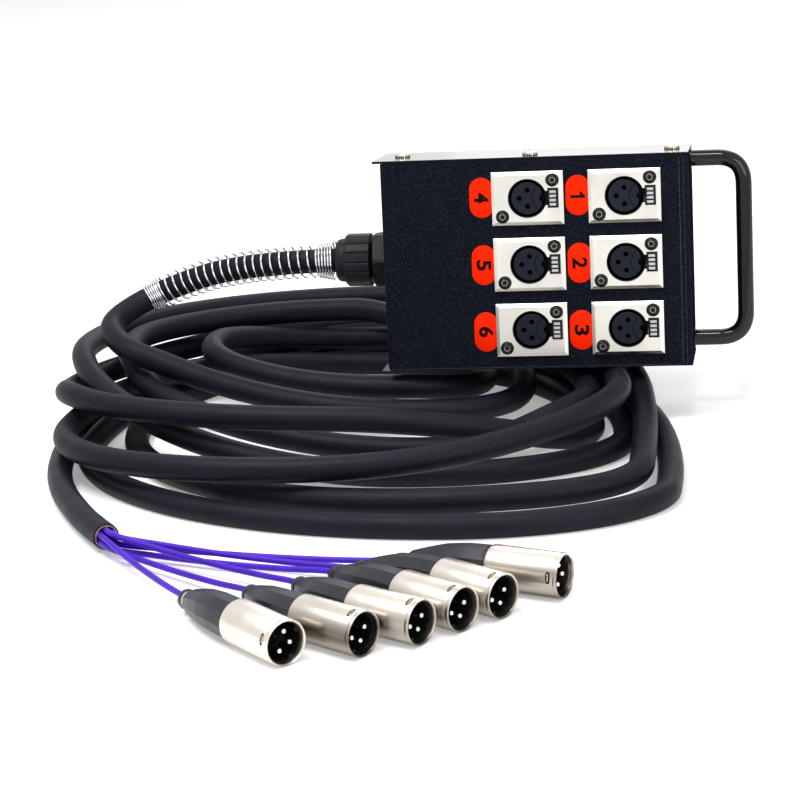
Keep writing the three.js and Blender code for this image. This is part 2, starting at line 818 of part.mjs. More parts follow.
// Least gap between strands that aren't next to each other, measured along the straight steps of the tube
function leastGap(points, radius, apartSteps) {
  const finer = [];
  for (let i = 0; i + 1 < points.length; i++) {
    for (let k = 0; k < fineShare; k++) finer.push(points[i].clone().lerp(points[i + 1], k / fineShare));
  }
  let least = Infinity;
  for (let i = 0; i < finer.length; i++) {
    for (let j = i + apartSteps * fineShare; j < finer.length; j++) {
      least = Math.min(least, finer[i].distanceTo(finer[j]));
    }
  }
  return least - 2 * radius;
}

function coilPoints() {
  const settled = settledTurns().map((p) => new THREE.Vector3(...p));
  return settled.filter((p, i) => i % fineShare === 0 && i >= firstCoilStep * fineShare);
}

// Heading of a line of points at one of them
function headingAt(points, i) {
  const before = points[Math.max(i - 1, 0)];
  const after = points[Math.min(i + 1, points.length - 1)];
  return after.clone().sub(before).normalize();
}

function makeCoil(points) {
  const rings = points.map((p, i) => ring(p, headingAt(points, i), upward, cableRadius, coilSides));
  addPiece(part, "cable_coil", onFloor(skin(rings)), "cableJacket");
  console.log("least gap of the coil to itself: " + leastGap(points, cableRadius, 3).toFixed(2) + " mm");
}

// The lead leaves the gland straight and runs into the first turn of the coil.
function leadCurve(coil) {
  const exit = new THREE.Vector3(-boxWidth / 2 - glandTip - seat, midDepth, glandHeight);
  exit.applyAxisAngle(new THREE.Vector3(1, 0, 0), -lean).add(box.position);
  const heading = headingAt(coil, 0);
  const end = coil[0].clone().addScaledVector(heading, -seat);
  const straight = end.clone().addScaledVector(heading, -cableRadius);
  return new THREE.CatmullRomCurve3([exit, ...leadRoute.map((p) => new THREE.Vector3(...p)), straight, end]);
}

function tailCurve(coil) {
  const last = coil.length - 1;
  const heading = headingAt(coil, last);
  const start = coil[last].clone().addScaledVector(heading, seat);
  const straight = start.clone().addScaledVector(heading, cableRadius);
  return new THREE.CatmullRomCurve3([start, straight, ...tailRoute.map((p) => new THREE.Vector3(...p))]);
}

// The spring narrows over the closed curls at the gland, and again over those at its far end.
function curlRadius(turn) {
  const behindMouth = Math.min(turn / closedCurls, 1);
  const towardsEnd = Math.max((turn - closedCurls - openCurls) / closedCurls, 0);
  const body = springMouthRadius + (springBodyRadius - springMouthRadius) * behindMouth;
  return body + (springEndRadius - springBodyRadius) * towardsEnd;
}

function curlPitch(turn) {
  if (turn < closedCurls) return mouthPitch;
  return turn < closedCurls + openCurls ? openPitch : endPitch;
}

// Spring wire: closed curls, open curls and closed curls round the lead, with straight ends
function springPoints(curve) {
  const curls = 2 * closedCurls + openCurls;
  const length = curve.getLength();
  const centres = [];
  const arms = [];
  let along = springStart + wireRadius;
  for (let i = 0; i <= curls * curlSteps; i++) {
    const turn = i / curlSteps;
    const centre = curve.getPointAt(along / length);
    const heading = curve.getTangentAt(along / length);
    const across = new THREE.Vector3().crossVectors(heading, upward).normalize();
    const level = new THREE.Vector3().crossVectors(across, heading);
    const angle = turn * 2 * Math.PI;
    const arm = level.multiplyScalar(Math.cos(angle)).addScaledVector(across, Math.sin(angle));
    centres.push(centre.addScaledVector(arm, curlRadius(turn)));
    arms.push(arm);
    along += curlPitch(turn) / curlSteps;
  }
  return { centres, arms };
}

function makeSpring(curve) {
  const { centres, arms } = springPoints(curve);
  const last = centres.length - 1;
  const straight = 2 * wireRadius;
  const start = centres[0].clone().addScaledVector(headingAt(centres, 0), -straight);
  const end = centres[last].clone().addScaledVector(headingAt(centres, last), straight);
  const path = [start, ...centres, end];
  const ups = [arms[0], ...arms, arms[last]];
  const rings = path.map((p, i) => ring(p, headingAt(path, i), ups[i], wireRadius, wireSides));
  addPiece(part, "relief_spring", skin(rings), "brightSteel");
  console.log("least gap of the spring to itself: " + leastGap(path, wireRadius, 4).toFixed(2) + " mm");
}

// Trimmed end of the cable, where the inner cores come out of the braid
function makeStub(tail) {
  const heading = tail.getTangentAt(1);
  const start = tail.getPointAt(1).addScaledVector(heading, seat);
  const end = start.clone().addScaledVector(heading, stubLength);
  addPiece(part, "core_stub", tube(new THREE.LineCurve3(start, end), stubRadius, rodSides, 1), "braid");
  return { end, heading };
}

// A plug's own frame: its mouth is at zero and faces +Y, and its body runs towards -Y.
function plugGroup(i) {
  const group = new THREE.Group();
  group.position.set(...plugPlaces[i], shellRadius);
  group.rotation.z = THREE.MathUtils.degToRad(plugHeadingDegrees[i]) - Math.PI / 2;
  part.add(group);
  return group;
}

// A place round the plug's axis. The angle counts upwards from the right side of the mouth, as one faces it.
function rolled(radius, angle) {
  return [-radius * Math.cos(angle), radius * Math.sin(angle)];
}

function makeShell(group, i) {
  const mouthRadius = shellRadius - shellWall;
  const tubeBody = turned(
    [
      [mouthRadius, 0],
      [mouthRadius, -shellMouthDepth],
      [shellBackRadius, -shellMouthDepth],
      [shellBackRadius, -shellLength],
      [shellRadius, -shellLength],
      [shellRadius, 0],
      [mouthRadius, 0],
    ],
    barrelSides,
  );
  const slot = block(
    [-latchSlotWidth / 2, -latchSlotBack - latchSlotLength, mouthRadius - overrun],
    [latchSlotWidth / 2, -latchSlotBack, shellRadius + overrun],
  );
  slot.rotateY(THREE.MathUtils.degToRad(plugRollDegrees[i]));
  addPiece(group, "plug_shell_" + (i + 1), surface(without(solid(tubeBody), slot)), "satinNickel");
}

// Insulating disc with three pins through it, each with a solder cup behind
function makePins(group, i) {
  const discBack = -shellMouthDepth + seat;
  const discFront = discBack + pinDiscLength;
  const roll = THREE.MathUtils.degToRad(plugRollDegrees[i]);
  const pins = [0, Math.PI, -Math.PI / 2].map((angle) => {
    const [x, z] = rolled(pinCircleRadius, roll + angle);
    const profile = [
      [0, discBack - solderCupLength],
      [solderCupRadius, discBack - solderCupLength],
      [solderCupRadius, discBack + pinDiscLength / 2],
      [pinRadius, discBack + pinDiscLength / 2],
      [pinRadius, -pinRecess - pinTipLength],
      [pinRadius / 2, -pinRecess],
      [0, -pinRecess],
    ];
    return turned(profile, pinSides).translate(x, 0, z);
  });
  const disc = drum(shellRadius - shellWall - slip, discBack, discFront, barrelSides);
  addPiece(group, "plug_pins_" + (i + 1), surface(joined(disc, ...pins)), "insertPlastic");
}

// Middle line and radii of a boot, in the plug's own frame: a collar inside the shell, then a slow bend
function bootLine(i) {
  const turnBy = THREE.MathUtils.degToRad(bootHeadingDegrees[i] - plugHeadingDegrees[i]);
  const start = -shellLength - seat;
  const line = [
    { at: new THREE.Vector3(0, start + bootCollarLength, 0), radius: bootCollarRadius },
    { at: new THREE.Vector3(0, start, 0), radius: bootCollarRadius },
    { at: new THREE.Vector3(0, start, 0), radius: bootRadius },
  ];
  const steps = bootRadiusShares.length;
  const stride = (bootLength - bootRingLength) / steps;
  const at = new THREE.Vector3(0, start, 0);
  let heading = new THREE.Vector3(0, -1, 0);
  bootRadiusShares.forEach((share, k) => {
    heading = new THREE.Vector3(0, -1, 0).applyAxisAngle(upward, (turnBy * (k + 1)) / steps);
    at.addScaledVector(heading, stride);
    at.z = -bootDrop * bootDropShares[k];
    line.push({ at: at.clone(), radius: bootRadius * share });
  });
  at.addScaledVector(heading, bootRingLength);
  line.push({ at: at.clone(), radius: bootRadius * bootRadiusShares.at(-1) });
  return line;
}

function makeBoot(group, i) {
  const line = bootLine(i);
  const forward = new THREE.Vector3(0, -1, 0);
  const places = line.map((step) => step.at);
  const rings = line.map(({ at, radius }, k) => {
    const heading = k < 3 ? forward : headingAt(places, k);
    return ring(at, heading, upward, radius, bootSides);
  });
  addPiece(group, "plug_boot_" + (i + 1), skin(rings), "rubber");
  group.updateMatrixWorld(true);
  const end = places.at(-1).clone().applyMatrix4(group.matrixWorld);
  const before = places.at(-2).clone().applyMatrix4(group.matrixWorld);
  return { end, outward: end.clone().sub(before).normalize() };
}

// A core from the cable's end to the end of a boot
function makeCore(i, stub, boot) {
  const across = new THREE.Vector3().crossVectors(stub.heading, upward).normalize();
  const level = new THREE.Vector3().crossVectors(across, stub.heading);
  const angle = THREE.MathUtils.degToRad(coreStartDegrees[i]);
  const start = stub.end.clone().addScaledVector(stub.heading, seat);
  start.addScaledVector(across, coreCircleRadius * Math.cos(angle));
  start.addScaledVector(level, coreCircleRadius * Math.sin(angle));
  const firstBend = start.clone().addScaledVector(stub.heading, coreStraight);
  const end = boot.end.clone().addScaledVector(boot.outward, seat);
  const lastBend = end.clone().addScaledVector(boot.outward, coreStraight);
  const route = [start];
  for (let k = 0; k <= coreBends; k++) {
    const share = k / coreBends;
    const bend = firstBend.clone().lerp(lastBend, share);
    bend.z -= 4 * coreSag * share * (1 - share);
    route.push(bend);
  }
  route.push(end);
  const curve = new THREE.CatmullRomCurve3(route);
  addPiece(part, "breakout_core_" + (i + 1), tube(curve, coreRadius, coreSides, coreSteps), "violetJacket");
}

makeTray();
makeLid();
makeLidScrews();
makeHandle();
makeHandleScrews();
makeGlandBody();
makeGlandLocknut();
makeGlandNut();
makeGlandSeal();
makeLoom();
socketPlaces().forEach((place, i) => {
  makeFlange(i + 1, place);
  makeInsert(i + 1, place);
  makePushTab(i + 1, place);
});

const middle = new THREE.Box3().setFromObject(box, true).getCenter(new THREE.Vector3());

const coil = coilPoints();
const lead = leadCurve(coil);
const tail = tailCurve(coil);
makeCoil(coil);
addPiece(part, "lead_cable", tube(lead, cableRadius, rodSides, leadSteps), "cableJacket");
addPiece(part, "tail_cable", tube(tail, cableRadius, rodSides, tailSteps), "cableJacket");
makeSpring(lead);
const stub = makeStub(tail);
plugPlaces.forEach((place, i) => {
  const group = plugGroup(i);
  makeShell(group, i);
  makePins(group, i);
  makeCore(i, stub, makeBoot(group, i));
});

part.position.copy(middle).negate();

export default part;
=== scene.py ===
import math

import bmesh
import bpy
import numpy as np
from mathutils import Matrix, Vector


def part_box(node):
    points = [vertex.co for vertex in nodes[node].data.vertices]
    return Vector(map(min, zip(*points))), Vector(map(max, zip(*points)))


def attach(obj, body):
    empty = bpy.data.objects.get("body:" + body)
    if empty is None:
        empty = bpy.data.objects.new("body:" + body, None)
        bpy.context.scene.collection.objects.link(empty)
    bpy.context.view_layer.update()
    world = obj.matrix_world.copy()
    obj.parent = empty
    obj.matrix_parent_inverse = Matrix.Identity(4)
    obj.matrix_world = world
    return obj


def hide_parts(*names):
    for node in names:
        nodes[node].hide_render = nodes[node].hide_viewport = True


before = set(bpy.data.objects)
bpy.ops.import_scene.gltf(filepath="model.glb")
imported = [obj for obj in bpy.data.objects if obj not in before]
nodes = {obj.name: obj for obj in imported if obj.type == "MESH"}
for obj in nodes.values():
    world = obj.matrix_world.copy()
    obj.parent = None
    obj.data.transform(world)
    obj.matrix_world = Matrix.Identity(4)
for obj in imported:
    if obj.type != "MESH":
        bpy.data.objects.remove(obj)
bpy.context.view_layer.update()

# Lengths below are in millimetres. They are laid out from the box's front bottom edge and the floor.
MM = 0.001
tray_low, tray_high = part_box("box_tray")
floor_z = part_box("cable_coil")[0][2]
ORIGIN = Vector(((tray_low[0] + tray_high[0]) / 2, tray_low[1], floor_z))
LEAN = math.radians(7)
FRONT_LIFT = 29.693
BOX_W, BOX_H, BOX_D = 150, 104, 50
ROW = Matrix.Translation(ORIGIN) @ Matrix.Scale(MM, 4)
BOX = ROW @ Matrix.Translation((0, 0, FRONT_LIFT)) @ Matrix.Rotation(-LEAN, 4, "X")
GLAND_Z = 53
GLAND = BOX @ Matrix.Translation((-BOX_W / 2, BOX_D / 2, GLAND_Z)) @ Matrix.Rotation(math.pi / 2, 4, "Z")
UP = Vector((0, 0, 1))
CABLE_R = 6.0
CORE_R = 1.35


def row_points(points):
    return [ROW @ Vector(p) for p in points]


def circle(sides):
    """Angles of even points round a circle."""
    return [2 * math.pi * k / sides for k in range(sides)]


def around(radius, y, angle):
    return radius * math.cos(angle), y, radius * math.sin(angle)


def square_to(heading):
    """The level direction across a heading, and the one square to both."""
    across = heading.cross(UP).normalized()
    return across, across.cross(heading)


def in_scene(name, data):
    obj = bpy.data.objects.new(name, data)
    bpy.context.scene.collection.objects.link(obj)
    return obj


# Camera
def make_camera():
    place = Vector((117.65, -1175.09, 377.71))
    azimuth, elevation, roll = 0.1587, 0.2961, -0.0641
    forward = Vector((
        -math.sin(azimuth) * math.cos(elevation),
        math.cos(azimuth) * math.cos(elevation),
        -math.sin(elevation),
    ))
    right = forward.cross(UP).normalized()
    up = right.cross(forward)
    turned_right = right * math.cos(roll) + up * math.sin(roll)
    turned_up = up * math.cos(roll) - right * math.sin(roll)
    data = bpy.data.cameras.new("camera")
    data.sensor_width = 36
    data.lens = 112.5
    data.clip_start = 0.01
    camera = in_scene("camera", data)
    turn = Matrix((turned_right, turned_up, -forward)).transposed().to_4x4()
    camera.matrix_world = Matrix.Translation(ROW @ place) @ turn
    bpy.context.scene.camera = camera


make_camera()


# Materials
def fill(tree, made, inputs):
    """Sets each input to its value, or links it where the value is the output of another node."""
    for key, value in inputs.items():
        if isinstance(value, bpy.types.NodeSocket):
            tree.links.new(value, made.inputs[key])
        else:
            made.inputs[key].default_value = value


def add_node(tree, kind, inputs, **settings):
    made = tree.nodes.new("ShaderNode" + kind)
    for key, value in settings.items():
        setattr(made, key, value)
    fill(tree, made, inputs)
    return made


def shader_of(mat):
    return mat.node_tree.nodes["Principled BSDF"]


def mix_in(mat, colour, share, blend="MIX"):
    """Mixes a colour into the base colour of a material."""
    tree, shader = mat.node_tree, shader_of(mat)
    base = shader.inputs["Base Color"].links[0].from_socket
    mix = add_node(tree, "MixRGB", {"Fac": share, "Color1": base, "Color2": colour}, blend_type=blend)
    fill(tree, shader, {"Base Color": mix.outputs["Color"]})


def material(
    name, colour, roughness, metallic=0.0, grain=(4000, 0.00001), vary=0.15, coat=0.0, spread=90.0, shine=0.5
):
    """A finish with a fine grain (scale per metre, depth in metres) and a slow change of colour and gloss."""
    mat = bpy.data.materials.new(name)
    mat.use_nodes = True
    tree, shader = mat.node_tree, shader_of(mat)
    place = add_node(tree, "TexCoord", {}).outputs["Object"]
    slow = add_node(tree, "TexNoise", {"Scale": spread, "Detail": 3, "Vector": place}).outputs["Fac"]
    ramp = add_node(tree, "ValToRGB", {"Fac": slow})
    for element, position, share in zip(ramp.color_ramp.elements, (0.3, 0.7), (1 - vary, 1 + vary)):
        element.position = position
        element.color = [min(1, c * share) for c in colour] + [1]
    gloss = add_node(tree, "MapRange", {
        "From Min": 0.3, "From Max": 0.7, "To Min": roughness * 0.9, "To Max": min(1, roughness * 1.12),
        "Value": slow,
    })
    fill(tree, shader, {
        "Metallic": metallic, "Specular IOR Level": shine, "Coat Weight": coat, "Coat Roughness": 0.15,
        "Base Color": ramp.outputs["Color"], "Roughness": gloss.outputs["Result"],
    })
    fine = add_node(tree, "TexNoise", {"Scale": grain[0], "Detail": 2, "Vector": place})
    bump = add_node(tree, "Bump", {"Strength": 1, "Distance": grain[1], "Height": fine.outputs["Fac"]})
    fill(tree, shader, {"Normal": bump.outputs["Normal"]})
    return mat


def edge_worn(mat, edge_light_colour, width=0.0006, amount=0.6):
    """Paints a lighter tone along the edges of a piece, as a painted highlight where light catches them."""
    tree = mat.node_tree
    rounded = add_node(tree, "Bevel", {"Radius": width}, samples=4).outputs["Normal"]
    plain = add_node(tree, "NewGeometry", {}).outputs["Normal"]
    dot = add_node(tree, "VectorMath", {0: rounded, 1: plain}, operation="DOT_PRODUCT")
    mask = add_node(tree, "MapRange", {
        "From Min": 1.0, "From Max": 0.8, "To Max": amount, "Value": dot.outputs["Value"],
    })
    mix_in(mat, [*edge_light_colour, 1], mask.outputs["Result"])


def speckled(mat, sparkle_colour, scale, reach):
    """Paints small light dots, as painted sparkle highlights of a textured coat."""
    tree = mat.node_tree
    place = add_node(tree, "TexCoord", {}).outputs["Object"]
    dots = add_node(tree, "TexVoronoi", {"Scale": scale, "Vector": place})
    near = add_node(tree, "MapRange", {
        "From Min": reach, "From Max": reach * 0.4, "Value": dots.outputs["Distance"],
    })
    mix_in(mat, [*sparkle_colour, 1], near.outputs["Result"])


def wavy(mat, scale, depth):
    """Adds slow ripples that wind round a tube, from its own map of around and along."""
    tree, shader = mat.node_tree, shader_of(mat)
    uv = add_node(tree, "UVMap", {}).outputs["UV"]
    wave = add_node(tree, "TexWave", {"Scale": scale, "Distortion": 2.5, "Detail": 1.0, "Vector": uv})
    wave.bands_direction = "DIAGONAL"
    before = shader.inputs["Normal"].links[0].from_socket
    bump = add_node(tree, "Bump", {"Distance": depth, "Height": wave.outputs["Fac"], "Normal": before})
    fill(tree, shader, {"Normal": bump.outputs["Normal"]})


SHADE_TOP = 20


def shaded_below(mat, tint, stops):
    """Paints shade and reflection into a lying piece in bands by height above the floor, from pairs of height
    and share.
    """
    tree = mat.node_tree
    place = add_node(tree, "TexCoord", {}).outputs["Object"]
    parts = add_node(tree, "SeparateXYZ", {"Vector": place})
    height = add_node(tree, "MapRange", {
        "From Min": floor_z, "From Max": floor_z + SHADE_TOP * MM, "Value": parts.outputs["Z"],
    })
    bands = add_node(tree, "ValToRGB", {"Fac": height.outputs["Result"]})
    ramp = bands.color_ramp
    while len(ramp.elements) < len(stops):
        ramp.elements.new(0.5)
    for element, (z, share) in zip(ramp.elements, stops):
        element.position = z / SHADE_TOP
        element.color = [share**t for t in tint] + [1]
    mix_in(mat, bands.outputs["Color"], 1, "MULTIPLY")
    return mat


powder = material("powder_coat", (0.0068, 0.0085, 0.014), 0.5, grain=(1500, 0.00022), vary=0.08, shine=0.0)
# Painted highlights: light dots stand in for the sparkle of the textured powder coat.
speckled(powder, (0.036, 0.04, 0.052), 1100, 0.3)
speckled(powder, (0.045, 0.047, 0.06), 650, 0.16)
# Painted highlight along the edges of the box and lid, where light catches the folds.
edge_worn(powder, (0.05, 0.05, 0.06), 0.0005, 0.5)
lid_paint = material("lid_paint", (0.02, 0.02, 0.022), 0.22, 0.3, (1500, 0.00001), 0.2, coat=1.0, shine=1.0)
fill(lid_paint.node_tree, shader_of(lid_paint), {"Coat IOR": 1.65, "IOR": 1.65})
nickel = material("satin_nickel", (0.8, 0.785, 0.72), 0.3, 1.0, (9000, 0.00001), 0.08, spread=60)
# A darker copy of the satin nickel: painted shade on the lower chamfers of the flanges.
nickel_painted_shade = material("nickel_painted_shade", (0.55, 0.53, 0.47), 0.3, 1.0, (9000, 0.00001), 0.08, spread=60)
# Painted shade and painted reflections on the plug shells: darker bands low down, one lit copy and three
# shaded copies of one nickel.
PLUG_SHADES = {
    "light": [(0, 0.3), (2, 0.85), (5, 1), (20, 1)],
    "low": [(0.7, 0.16), (5.7, 0.38), (9.1, 0.13), (11.9, 0.24), (14.3, 0.5), (16.5, 0.8), (20, 1)],
    "middle": [(0.7, 0.2), (5, 0.5), (9.1, 0.4), (11.9, 0.55), (14.3, 0.75), (16.5, 0.95), (20, 1)],
    "high": [(1.7, 0.15), (5.5, 0.45), (8.6, 0.52), (11.1, 0.6), (13.7, 0.45), (15.8, 0.95), (20, 1)],
}
plug_nickel_painted_shade = {
    shade: shaded_below(
        material("plug_nickel_painted_shade_" + shade, (0.76, 0.71, 0.64), 0.3, 1.0, grain=(7000, 0.000008), vary=0.05),
        (0.95, 1, 1.07), stops,
    )
    for shade, stops in PLUG_SHADES.items()
}
screw_nickel = material("screw_nickel", (0.72, 0.66, 0.52), 0.25, 1.0, grain=(5000, 0.000006), vary=0.08)
steel = material("bright_steel", (0.66, 0.67, 0.69), 0.2, 1.0, grain=(3000, 0.000004), vary=0.06)
insert_black = material("insert_plastic", (0.0085, 0.0105, 0.019), 0.42, vary=0.1, shine=0.15)
liner_black = material("liner_plastic", (0.004, 0.004, 0.005), 0.4, vary=0.1, shine=0.2)
nylon = material("black_nylon", (0.0095, 0.0108, 0.0135), 0.45, grain=(3500, 0.00002), shine=0.15)
screw_black = material("screw_black", (0.004, 0.004, 0.005), 0.25, 0.0, (3500, 0.00001), 0.1, shine=0.25)
gloss_black = material(
    "gloss_black", (0.0035, 0.0035, 0.006), 0.3, grain=(900, 0.000004), vary=0.1, coat=0.7, shine=0.0
)
fill(gloss_black.node_tree, shader_of(gloss_black), {"Coat Roughness": 0.05})
jacket = material(
    "cable_jacket", (0.0056, 0.0062, 0.0118), 0.52, grain=(2600, 0.00002), vary=0.2, spread=45, shine=0.15
)
wavy(jacket, 40, 0.00006)
violet = material(
    "violet_jacket", (0.062, 0.008, 0.46), 0.42, grain=(3000, 0.00001), vary=0.2, spread=120, shine=0.25
)
boot_black = material("boot_rubber", (0.007, 0.0074, 0.0135), 0.36, grain=(3800, 0.00002), shine=0.42)
braid = material("braid", (0.42, 0.28, 0.2), 0.4, 0.7, grain=(2600, 0.00012), vary=0.4, spread=900)
grey_ring = material("grey_ring", (0.55, 0.55, 0.56), 0.5, grain=(3000, 0.00001), vary=0.1)
label_red = material("label_red", (1.0, 0.02, 0.0005), 0.6, grain=(5000, 0.000004), vary=0.03, shine=0.04)
ink = material("label_ink", (0.008, 0.002, 0.003), 0.45, grain=(5000, 0.000004), vary=0.2, shine=0.05)
pale_print = material("pale_print", (0.5, 0.5, 0.49), 0.45, grain=(5000, 0.000004), vary=0.1)
pin_silver = material("pin_silver", (0.95, 0.94, 0.92), 0.16, 1.0, grain=(4000, 0.000003), vary=0.04)
mark_grey = material("mark_grey", (0.19, 0.19, 0.2), 0.5, grain=(3000, 0.00001), shine=0.1)
# Lighter grey strips: painted highlights along the folds of the box.
fold_highlight_grey = material(
    "fold_highlight_grey", (0.035, 0.036, 0.05), 0.5, grain=(3000, 0.00002), vary=0.8, spread=700, shine=0.1
)
shadow_brass = material("shadow_brass", (0.035, 0.026, 0.008), 0.4, 0.4, vary=0.3, spread=900)
glint = material("glint_steel", (0.5, 0.5, 0.5), 0.3, 1.0, vary=0.3, spread=900)


# Pieces
def piece(name, mesh, mat, stands_for=(), body="box", smooth=40, weighted=False):
    obj = in_scene(name, mesh)
    mesh.materials.clear()
    mesh.materials.append(mat)
    if smooth:
        mesh.shade_smooth()
        mesh.set_sharp_from_angle(angle=math.radians(smooth))
    if weighted:
        normals = obj.modifiers.new("even_normals", "WEIGHTED_NORMAL")
        normals.keep_sharp = True
    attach(obj, body)
    if stands_for:
        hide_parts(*stands_for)
    return obj


def face_outward(mesh):
    work = bmesh.new()
    work.from_mesh(mesh)
    bmesh.ops.recalc_face_normals(work, faces=work.faces)
    work.to_mesh(mesh)
    work.free()


def faces_mesh(name, verts, faces, matrix=None):
    mesh = bpy.data.meshes.new(name)
    mesh.from_pydata([tuple(v) for v in verts], [], faces)
    face_outward(mesh)
    if matrix is not None:
        mesh.transform(matrix)
    mesh.update()
    return mesh


def lathe(profile, sides):
    """A body turned round Y from (radius, y) pairs. It is closed on the axis or on itself."""
    verts, faces, rings = [], [], []
    closed = profile[0] == profile[-1]
    for radius, y in profile[:-1] if closed else profile:
        if radius < 1e-6:
            rings.append([len(verts)])
            verts.append((0, y, 0))
            continue
        rings.append(list(range(len(verts), len(verts) + sides)))
        verts += [around(radius, y, angle) for angle in circle(sides)]
    pairs = list(zip(rings, rings[1:] + rings[:1])) if closed else list(zip(rings, rings[1:]))
    for a, b in pairs:
        for k in range(sides):
            n = (k + 1) % sides
            if len(a) == 1 and len(b) > 1:
                faces.append((a[0], b[k], b[n]))
            elif len(b) == 1 and len(a) > 1:
                faces.append((a[k], a[n], b[0]))
            elif len(a) > 1:
                faces.append((a[k], a[n], b[n], b[k]))
    return verts, faces


def loft(rings, capped=True):
    sides = len(rings[0])
    verts = [v for ring in rings for v in ring]
    faces = []
    for r in range(len(rings) - 1):
        for k in range(sides):
            n = (k + 1) % sides
            faces.append((r * sides + k, r * sides + n, (r + 1) * sides + n, (r + 1) * sides + k))
    if capped:
        faces.append(tuple(reversed(range(sides))))
        faces.append(tuple(range((len(rings) - 1) * sides, len(rings) * sides)))
    return verts, faces


def block(low, high):
    (a, b, c), (d, e, f) = low, high
    verts = [(a, b, c), (d, b, c), (d, e, c), (a, e, c), (a, b, f), (d, b, f), (d, e, f), (a, e, f)]
    faces = [(0, 3, 2, 1), (4, 5, 6, 7), (0, 1, 5, 4), (1, 2, 6, 5), (2, 3, 7, 6), (3, 0, 4, 7)]
    return verts, faces


def moved(shape, matrix):
    verts, faces = shape
    return [matrix @ Vector(v) for v in verts], faces


def drum(radius, low_y, high_y, sides, x=0, z=0):
    shape = lathe([(0, low_y), (radius, low_y), (radius, high_y), (0, high_y)], sides)
    return moved(shape, Matrix.Translation((x, 0, z)))


def carved(name, solids, cuts):
    """One mesh of the first solid with the others joined on and the cuts taken out."""
    made = []
    for i, shape in enumerate([*solids, *cuts]):
        made.append(in_scene(name + str(i), faces_mesh(name + str(i), *shape)))
    base = made[0]
    for i, other in enumerate(made[1:], 1):
        step = base.modifiers.new("step" + str(i), "BOOLEAN")
        step.operation = "UNION" if i < len(solids) else "DIFFERENCE"
        step.solver = "EXACT"
        step.object = other
    graph = bpy.context.evaluated_depsgraph_get()
    mesh = bpy.data.meshes.new_from_object(base.evaluated_get(graph))
    for obj in made:
        bpy.data.objects.remove(obj)
    return mesh


SHARP = math.radians(28)


def eased(mesh, width, segments=2, merge=0.004):
    """Rounds the sharp edges of a mesh a little."""
    work = bmesh.new()
    work.from_mesh(mesh)
    bmesh.ops.remove_doubles(work, verts=work.verts, dist=merge)
    bmesh.ops.dissolve_limit(work, angle_limit=math.radians(1), verts=work.verts, edges=work.edges)
    sharp = [e for e in work.edges if len(e.link_faces) == 2 and e.calc_face_angle(0) > SHARP]
    bmesh.ops.bevel(
        work, geom=sharp, offset=width, segments=segments, profile=0.5, affect="EDGES", clamp_overlap=True
    )
    work.to_mesh(mesh)
    work.free()
    mesh.update()
    return mesh


def placed(mesh, matrix):
    copy = mesh.copy()
    copy.transform(matrix)
    return copy


# Lines and tubes
def length_of(points):
    return float(np.linalg.norm(np.diff(points, axis=0), axis=1).sum())


def marks_of(points):
    """How far along the line each point is."""
    return np.concatenate([[0], np.cumsum(np.linalg.norm(np.diff(points, axis=0), axis=1))])


def at_mark(points, marks, s):
    return Vector([np.interp(s, marks, points[:, a]) for a in range(3)])


def through(points, steps=12):
    """A smooth line through points."""
    p = np.array(points, float)
    p = np.vstack([2 * p[0] - p[1], p, 2 * p[-1] - p[-2]])
    line = []
    for i in range(1, len(p) - 2):
        p0, p1, p2, p3 = p[i - 1 : i + 3]
        d0, d1, d2 = [math.sqrt(np.linalg.norm(b - a)) for a, b in ((p0, p1), (p1, p2), (p2, p3))]
        t1 = ((p1 - p0) / d0 - (p2 - p0) / (d0 + d1) + (p2 - p1) / d1) * d1
        t2 = ((p2 - p1) / d1 - (p3 - p1) / (d1 + d2) + (p3 - p2) / d2) * d1
        for k in range(steps):
            t = k / steps
            line.append(
                p1 + t1 * t + (-3 * p1 + 3 * p2 - 2 * t1 - t2) * t**2 + (2 * p1 - 2 * p2 + t1 + t2) * t**3
            )
    line.append(p[-2])
    return np.array(line)


def evened(points, step):
    """The same line on even steps of about the given length."""
    along = marks_of(points)
    count = max(2, int(round(along[-1] / step)) + 1)
    return np.stack([np.interp(np.linspace(0, along[-1], count), along, points[:, a]) for a in range(3)], 1)


def headings(points):
    return [
        Vector(points[min(i + 1, len(points) - 1)] - points[max(i - 1, 0)]).normalized()
        for i in range(len(points))
    ]


def tube(name, points, radius, sides):
    """A tube along points in millimetres, pressed flat on the floor, with a map of around and along."""
    rings = []
    for p, heading in zip(points, headings(points)):
        across, level = square_to(heading)
        ring = []
        for angle in circle(sides):
            v = Vector(p) + level * (radius * math.cos(angle)) + across * (radius * math.sin(angle))
            v.z = max(0, v.z)
            ring.append(v)
        rings.append(ring)
    verts, faces = loft(rings)
    mesh = bpy.data.meshes.new(name)
    mesh.from_pydata([tuple(ROW @ v) for v in verts], [], faces)
    along = marks_of(points) * MM
    layer = mesh.uv_layers.new(name="UVMap")
    for face in mesh.polygons:
        spots = [divmod(mesh.loops[loop].vertex_index, sides) for loop in face.loop_indices]
        closes = len(spots) == 4 and any(k == sides - 1 for _, k in spots)
        for loop, (ring, k) in zip(face.loop_indices, spots):
            turn = (sides if closes and k == 0 else k) / sides * 2 * math.pi
            layer.data[loop].uv = (turn * radius * MM, along[ring])
    face_outward(mesh)
    return mesh


def wire(name, points, radius, mat, stands_for=()):
    """A round wire or rod along points in row metres."""
    data = bpy.data.curves.new(name, "CURVE")
    data.dimensions = "3D"
    data.bevel_depth = radius * MM
    data.bevel_resolution = 5
    data.use_fill_caps = True
    spline = data.splines.new("POLY")
    spline.points.add(len(points) - 1)
    for point, place in zip(spline.points, points):
        point.co = (*place, 1)
    spline.use_smooth = True
    data.materials.append(mat)
    obj = in_scene(name, data)
    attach(obj, "box")
    if stands_for:
        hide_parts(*stands_for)
    return obj


